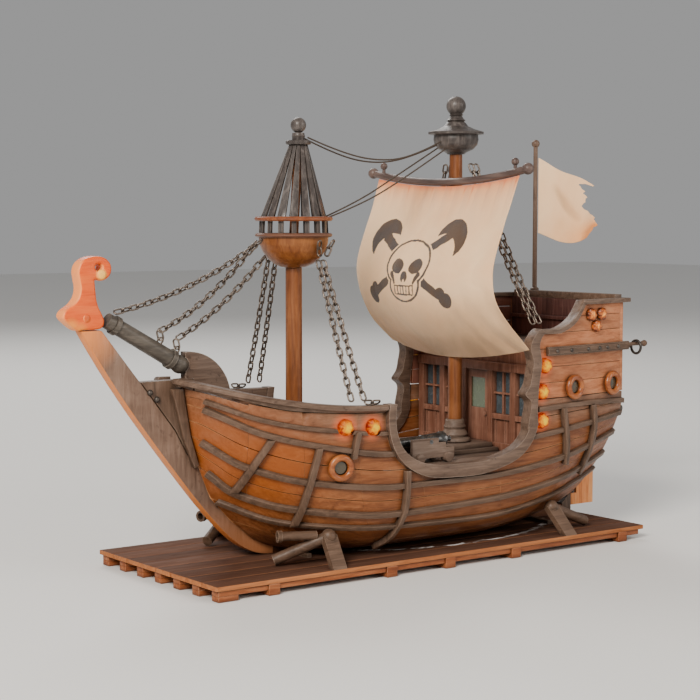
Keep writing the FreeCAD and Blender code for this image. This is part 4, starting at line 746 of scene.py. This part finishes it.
def make_sail(material):
    columns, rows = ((380, 300))

    def dye(a, d, x, y, z):
        reach = 0.075 + 0.03 * noise.noise(Vector((a * 2.2, 0.0, 1.0)))
        glow_band = math.exp(-(d / reach) ** 1.25)
        streak = max(0.0, noise.noise(Vector((a * 26, d * 2.5, 5.0))) - 0.25) * math.exp(-(d / 0.11) ** 2)
        return min(1.0, glow_band + 0.7 * streak)

    # darker towards the foot of the sail, in patches: painted shade
    def shade_and_darker_foot(a, d, x, y, z):
        foot = max(0.0, (d - 0.55) / 0.45) ** 1.1
        patch = 0.5 + 0.5 * noise.noise(Vector((a * 3, d * 3, 9)))
        return min(0.85, foot * (0.42 + 0.35 * patch))

    def ink(a, d, x, y, z):
        return emblem(y, z)

    sail = sheet_piece("sail_canvas", sail_place, columns, rows, material, 0.55,
                       {"dye": dye, "shade_and_darker_foot": shade_and_darker_foot, "ink": ink})
    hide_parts("sail")


FLAG_POLE = (192.0, 40.0)
FLAG_RUN = (0.85, -0.53)


FLY_EDGE = [(0.0, 1.0), (0.03, 0.98), (0.07, 0.80), (0.11, 0.73), (0.2, 0.80), (0.28, 0.845), (0.36, 0.83),
            (0.45, 0.765), (0.55, 0.90), (0.65, 1.0), (0.75, 1.03), (0.83, 1.08), (0.9, 1.0), (1.0, 0.88)]


def fly_edge(d):
    """How far the torn end of the flag reaches at a share `d` of the way down."""
    for (d0, r0), (d1, r1) in zip(FLY_EDGE, FLY_EDGE[1:]):
        if d <= d1:
            t = (d - d0) / (d1 - d0)
            return r0 + (r1 - r0) * t * t * (3 - 2 * t)
    return FLY_EDGE[-1][1]


def flag_fold(s, d):
    """Depth of the long slanting fold, 0 to 1."""
    along = (s - 0.32) * 0.72 + (d - 0.30) * 0.70
    across = -(s - 0.32) * 0.70 + (d - 0.30) * 0.72
    ends = max(0.0, 1 - ((along - 0.26) / 0.34) ** 2)
    return math.exp(-(across / 0.07) ** 2) * ends


def flag_place(a, d):
    """Flag point in millimetres; a runs from the pole (-1) to the fly (1)."""
    share = (a + 1) / 2
    tatter = 0.035 * noise.noise(Vector((d * 23.0, 5.0, 1))) + 0.02 * noise.noise(Vector((d * 61.0, 2.0, 4)))
    s = share * (1 + (fly_edge(d) - 1 + tatter) * share ** 1.5)
    reach = 2.6 + 47.5 * s
    wave = 2.4 * math.sin(s * 6.9) * s ** 0.4 + 1.3 * math.sin(s * 11 + d * 3.5) * s + 2.6 * flag_fold(s, d)
    high = 293.5 - 22 * min(s, 1.0) ** 0.95
    low = 231.5 - 8.5 * math.sin(math.pi * min(s, 1.0) ** 1.2)
    z = high + (low - high) * d + 0.8 * math.sin(s * 9 + 1.0) * (1 - d)
    x = FLAG_POLE[0] + FLAG_RUN[0] * reach - FLAG_RUN[1] * wave
    y = FLAG_POLE[1] + FLAG_RUN[1] * reach + FLAG_RUN[0] * wave
    return x, y, z


def make_flag(material):
    def dye(a, d, x, y, z):
        s = (a + 1) / 2
        corner = math.exp(-((1 - s) / 0.34) ** 2 - ((0.88 - d) / 0.2) ** 2)
        hem = max(0.0, d - 0.72) * 1.4 * s
        return min(1.0, 0.95 * corner + hem * (1 + 0.5 * noise.noise(Vector((s * 6, d * 6, 2)))))

    # darker towards the foot of the flag, and painted shadow along the long slanting fold
    def shade_and_darker_foot(a, d, x, y, z):
        return 0.12 * max(0.0, d - 0.5) + 0.42 * flag_fold((a + 1) / 2, d)

    def ink(a, d, x, y, z):
        return 0.0

    flag = sheet_piece("flag_cloth", flag_place, 110, 150, material, 0.5,
                       {"dye": dye, "shade_and_darker_foot": shade_and_darker_foot, "ink": ink})
    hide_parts("flag")


# ------------------------------------------------------------------ carved and glowing pieces
SCROLL = [(-256.5, 169.2), (-261, 169.0), (-266.6, 172.8), (-271.2, 177.2), (-271.6, 180.2),
          (-269.4, 183.0), (-264.0, 186.6), (-260.0, 191.5), (-258.6, 197.5), (-259.6, 203.5),
          (-260.2, 209.0), (-258.4, 213.8), (-254.6, 217.0), (-249.5, 218.6), (-244.0, 218.8),
          (-238.9, 217.2), (-235.4, 213.6), (-234.6, 209.4), (-236.0, 205.6), (-239.6, 202.9),
          (-243.6, 202.2), (-247.2, 203.0), (-247.2, 199.0), (-246.7, 194.0), (-246.2, 189.5),
          (-244.6, 184.2), (-242.2, 179.6), (-240.6, 175.4), (-241.4, 171.4), (-245.0, 169.4)]


def smooth_loop(points, steps=6):
    """A closed Catmull-Rom curve through the points."""
    count = len(points)
    made = []
    for i in range(count):
        a, b, c, d = (points[(i + k - 1) % count] for k in range(4))
        for k in range(steps):
            t = k / steps
            made.append(tuple(0.5 * (2 * b[n] + (c[n] - a[n]) * t
                                     + (2 * a[n] - 5 * b[n] + 4 * c[n] - d[n]) * t * t
                                     + (3 * b[n] - a[n] - 3 * c[n] + d[n]) * t ** 3) for n in range(2)))
    return made


def make_figurehead(materials):
    """A flat carved scroll with rounded edges, a pierced curl and a small boss on each side."""
    curve = bpy.data.curves.new("scroll", "CURVE")
    curve.dimensions = "2D"
    curve.fill_mode = "BOTH"
    curve.extrude = 3.9 * MM
    curve.bevel_depth = 2.0 * MM
    curve.bevel_resolution = 4
    eye = [(-244.4 + 2.6 * math.cos(t * 0.5236), 211.3 + 2.4 * math.sin(t * 0.5236)) for t in range(12)]
    for loop, inset in ((SCROLL, 1), (eye, -1)):
        ring = smooth_loop(loop)
        strip = curve.splines.new("POLY")
        strip.points.add(len(ring) - 1)
        for i, (x, z) in enumerate(ring):
            ahead, behind = ring[(i + 1) % len(ring)], ring[i - 1]
            run = Vector((ahead[0] - behind[0], ahead[1] - behind[1])).normalized()
            spot = Vector((x, z)) + Vector((-run.y, run.x)) * -2.0
            strip.points[i].co = (spot.x * MM, BASE_TOP + spot.y * MM, 0, 1)
        strip.use_cyclic_u = True
    holder = bpy.data.objects.new("scroll", curve)
    data = bpy.data.meshes.new_from_object(holder)
    bpy.data.objects.remove(holder)
    bpy.data.curves.remove(curve)
    mesh = bmesh.new()
    mesh.from_mesh(data)
    bmesh.ops.rotate(mesh, verts=mesh.verts, cent=(0, 0, 0), matrix=Matrix.Rotation(math.pi / 2, 3, "X"))
    bmesh.ops.remove_doubles(mesh, verts=mesh.verts, dist=0.00002)
    for side in (-1, 1):
        for x, z, radius, lift in ((-254.4, 177.2, 2.7, 1.1), (-242.9, 206.4, 3.5, 1.3)):
            place = Matrix.Translation(at(x, side * 5.9, z)) @ Matrix.Diagonal(
                (radius * MM, lift * MM, radius * MM, 1))
            bmesh.ops.create_icosphere(mesh, subdivisions=4, radius=1.0, matrix=place)
    bmesh.ops.recalc_face_normals(mesh, faces=mesh.faces)
    mesh.to_mesh(data)
    mesh.free()
    data.name = "figurehead_scroll"
    data.materials.clear()
    data.materials.append(materials["figure_wood"])
    piece = bpy.data.objects.new("figurehead_scroll", data)
    bpy.context.scene.collection.objects.link(piece)
    for face in data.polygons:
        face.use_smooth = True
    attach(piece, "ship")
    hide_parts("figurehead")


def lamp_mesh(mesh, centre, normal, radius, height, seed):
    """A lens with six swirled lobes."""
    rng = random.Random(seed)
    lean = rng.uniform(0, 6.28)
    side = normal.orthogonal().normalized()
    up = normal.cross(side)
    rings, spokes = 14, 48
    grid = []
    for i in range(rings + 1):
        t = i / rings
        row = []
        for k in range(spokes):
            a = 2 * math.pi * k / spokes
            lobe = 1 + 0.10 * math.sin(6 * a + lean + 2.4 * t) * math.sin(math.pi * t)
            r = radius * math.sin(t * math.pi / 2) * lobe
            h = height * math.cos(t * math.pi / 2) ** 0.8 + 0.35 * math.sin(6 * a + lean + 2.4 * t) * t
            if t == 1:
                h = 0
            vert = mesh.verts.new(centre + (side * math.cos(a) + up * math.sin(a)) * r * MM
                                  + normal * h * MM)
            row.append(vert)
        grid.append(row)
    for a, b in zip(grid, grid[1:]):
        for k in range(spokes):
            m = (k + 1) % spokes
            mesh.faces.new((a[k], b[k], b[m], a[m]))
    mesh.faces.new(list(reversed(grid[-1])))


def solid_groups(node):
    """Centres of a node's separate solids, from its welded mesh."""
    mesh = bmesh.new()
    mesh.from_mesh(NODES[node].data)
    bmesh.ops.remove_doubles(mesh, verts=mesh.verts, dist=0.00001)
    left = set(mesh.verts)
    groups = []
    while left:
        start = left.pop()
        stack, found = [start], [start.co.copy()]
        while stack:
            for edge in stack.pop().link_edges:
                for vert in edge.verts:
                    if vert in left:
                        left.remove(vert)
                        stack.append(vert)
                        found.append(vert.co.copy())
        groups.append(found)
    mesh.free()
    groups.sort(key=lambda pts: (round(sum(p.x for p in pts) / len(pts), 4),
                                 sum(p.y for p in pts) / len(pts)))
    return groups


def make_lamps(materials):
    """Glowing lenses and carved ornaments in place of the plain domes."""
    for node, name, finish in (("lamp_lenses", "lamp_domes", "lamp_red"),
                               ("stern_ornaments", "stern_carvings", "carving")):
        mesh = bmesh.new()
        for number, points in enumerate(solid_groups(node)):
            low = Vector([min(p[i] for p in points) for i in range(3)])
            high = Vector([max(p[i] for p in points) for i in range(3)])
            centre = (low + high) / 2
            outer = 1 if centre.y > 0 else -1
            radius = max(high.x - low.x, high.z - low.z) / 2 / MM
            lean = -0.12 if centre.x < -0.08 else 0.0
            normal = Vector((lean, outer, 0)).normalized()
            base = Vector((centre.x, low.y if outer > 0 else high.y, centre.z))
            height = (high.y - low.y) / MM
            lamp_mesh(mesh, base, normal, radius * 0.96, height * 0.96, 20 + number)
        data = bpy.data.meshes.new(name)
        mesh.to_mesh(data)
        mesh.free()
        data.materials.append(materials[finish])
        for face in data.polygons:
            face.use_smooth = True
        piece = bpy.data.objects.new(name, data)
        bpy.context.scene.collection.objects.link(piece)
        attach(piece, "ship")
        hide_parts(node)


# ------------------------------------------------------------------ shackles
CHAIN_ENDS = [(-194.8, -2, 160.4), (-180.6, 0, 153.4)]
SHACKLE_WIRE = 0.65
SHACKLE_HALF_WIDTH = 1.9
SHACKLE_OVERLAP = 1.3
SHACKLE_STEPS = 32


def make_shackles(material):
    """A long link from each hanging end of the bow chains to the bowsprit under it."""
    spar = NODES["bowsprit"]
    for number, end in enumerate(CHAIN_ENDS):
        top = at(*end)
        foot = spar.matrix_world @ spar.closest_point_on_mesh(spar.matrix_world.inverted() @ top)[1]
        axis = (top - foot).normalized()
        aside = axis.cross(Vector((0, 1, 0))).normalized()
        middle = (top + foot) / 2
        half_length = (top - foot).length / 2 + SHACKLE_OVERLAP * MM
        curve = bpy.data.curves.new(f"shackle_{number}_line", "CURVE")
        curve.dimensions = "3D"
        line = curve.splines.new("POLY")
        line.points.add(SHACKLE_STEPS - 1)
        for i, point in enumerate(line.points):
            turn = 2 * math.pi * i / SHACKLE_STEPS
            along = axis * half_length * math.cos(turn)
            across = aside * SHACKLE_HALF_WIDTH * MM * math.sin(turn)
            point.co = (*(middle + along + across), 1)
        line.use_cyclic_u = True
        curve.bevel_depth = SHACKLE_WIRE * MM
        curve.bevel_resolution = 3
        curve.materials.append(material)
        shackle = bpy.data.objects.new(f"bow_shackle_{number}", curve)
        bpy.context.scene.collection.objects.link(shackle)
        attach(shackle, "ship")


# ------------------------------------------------------------------ build
make_camera()
materials = make_materials()
make_ropes(materials["rope"])
make_studio()
finish_nodes(materials)
make_sail(materials["sail_cloth"])
make_flag(materials["flag_cloth"])
make_figurehead(materials)
make_lamps(materials)
make_shackles(materials["chain_metal"])
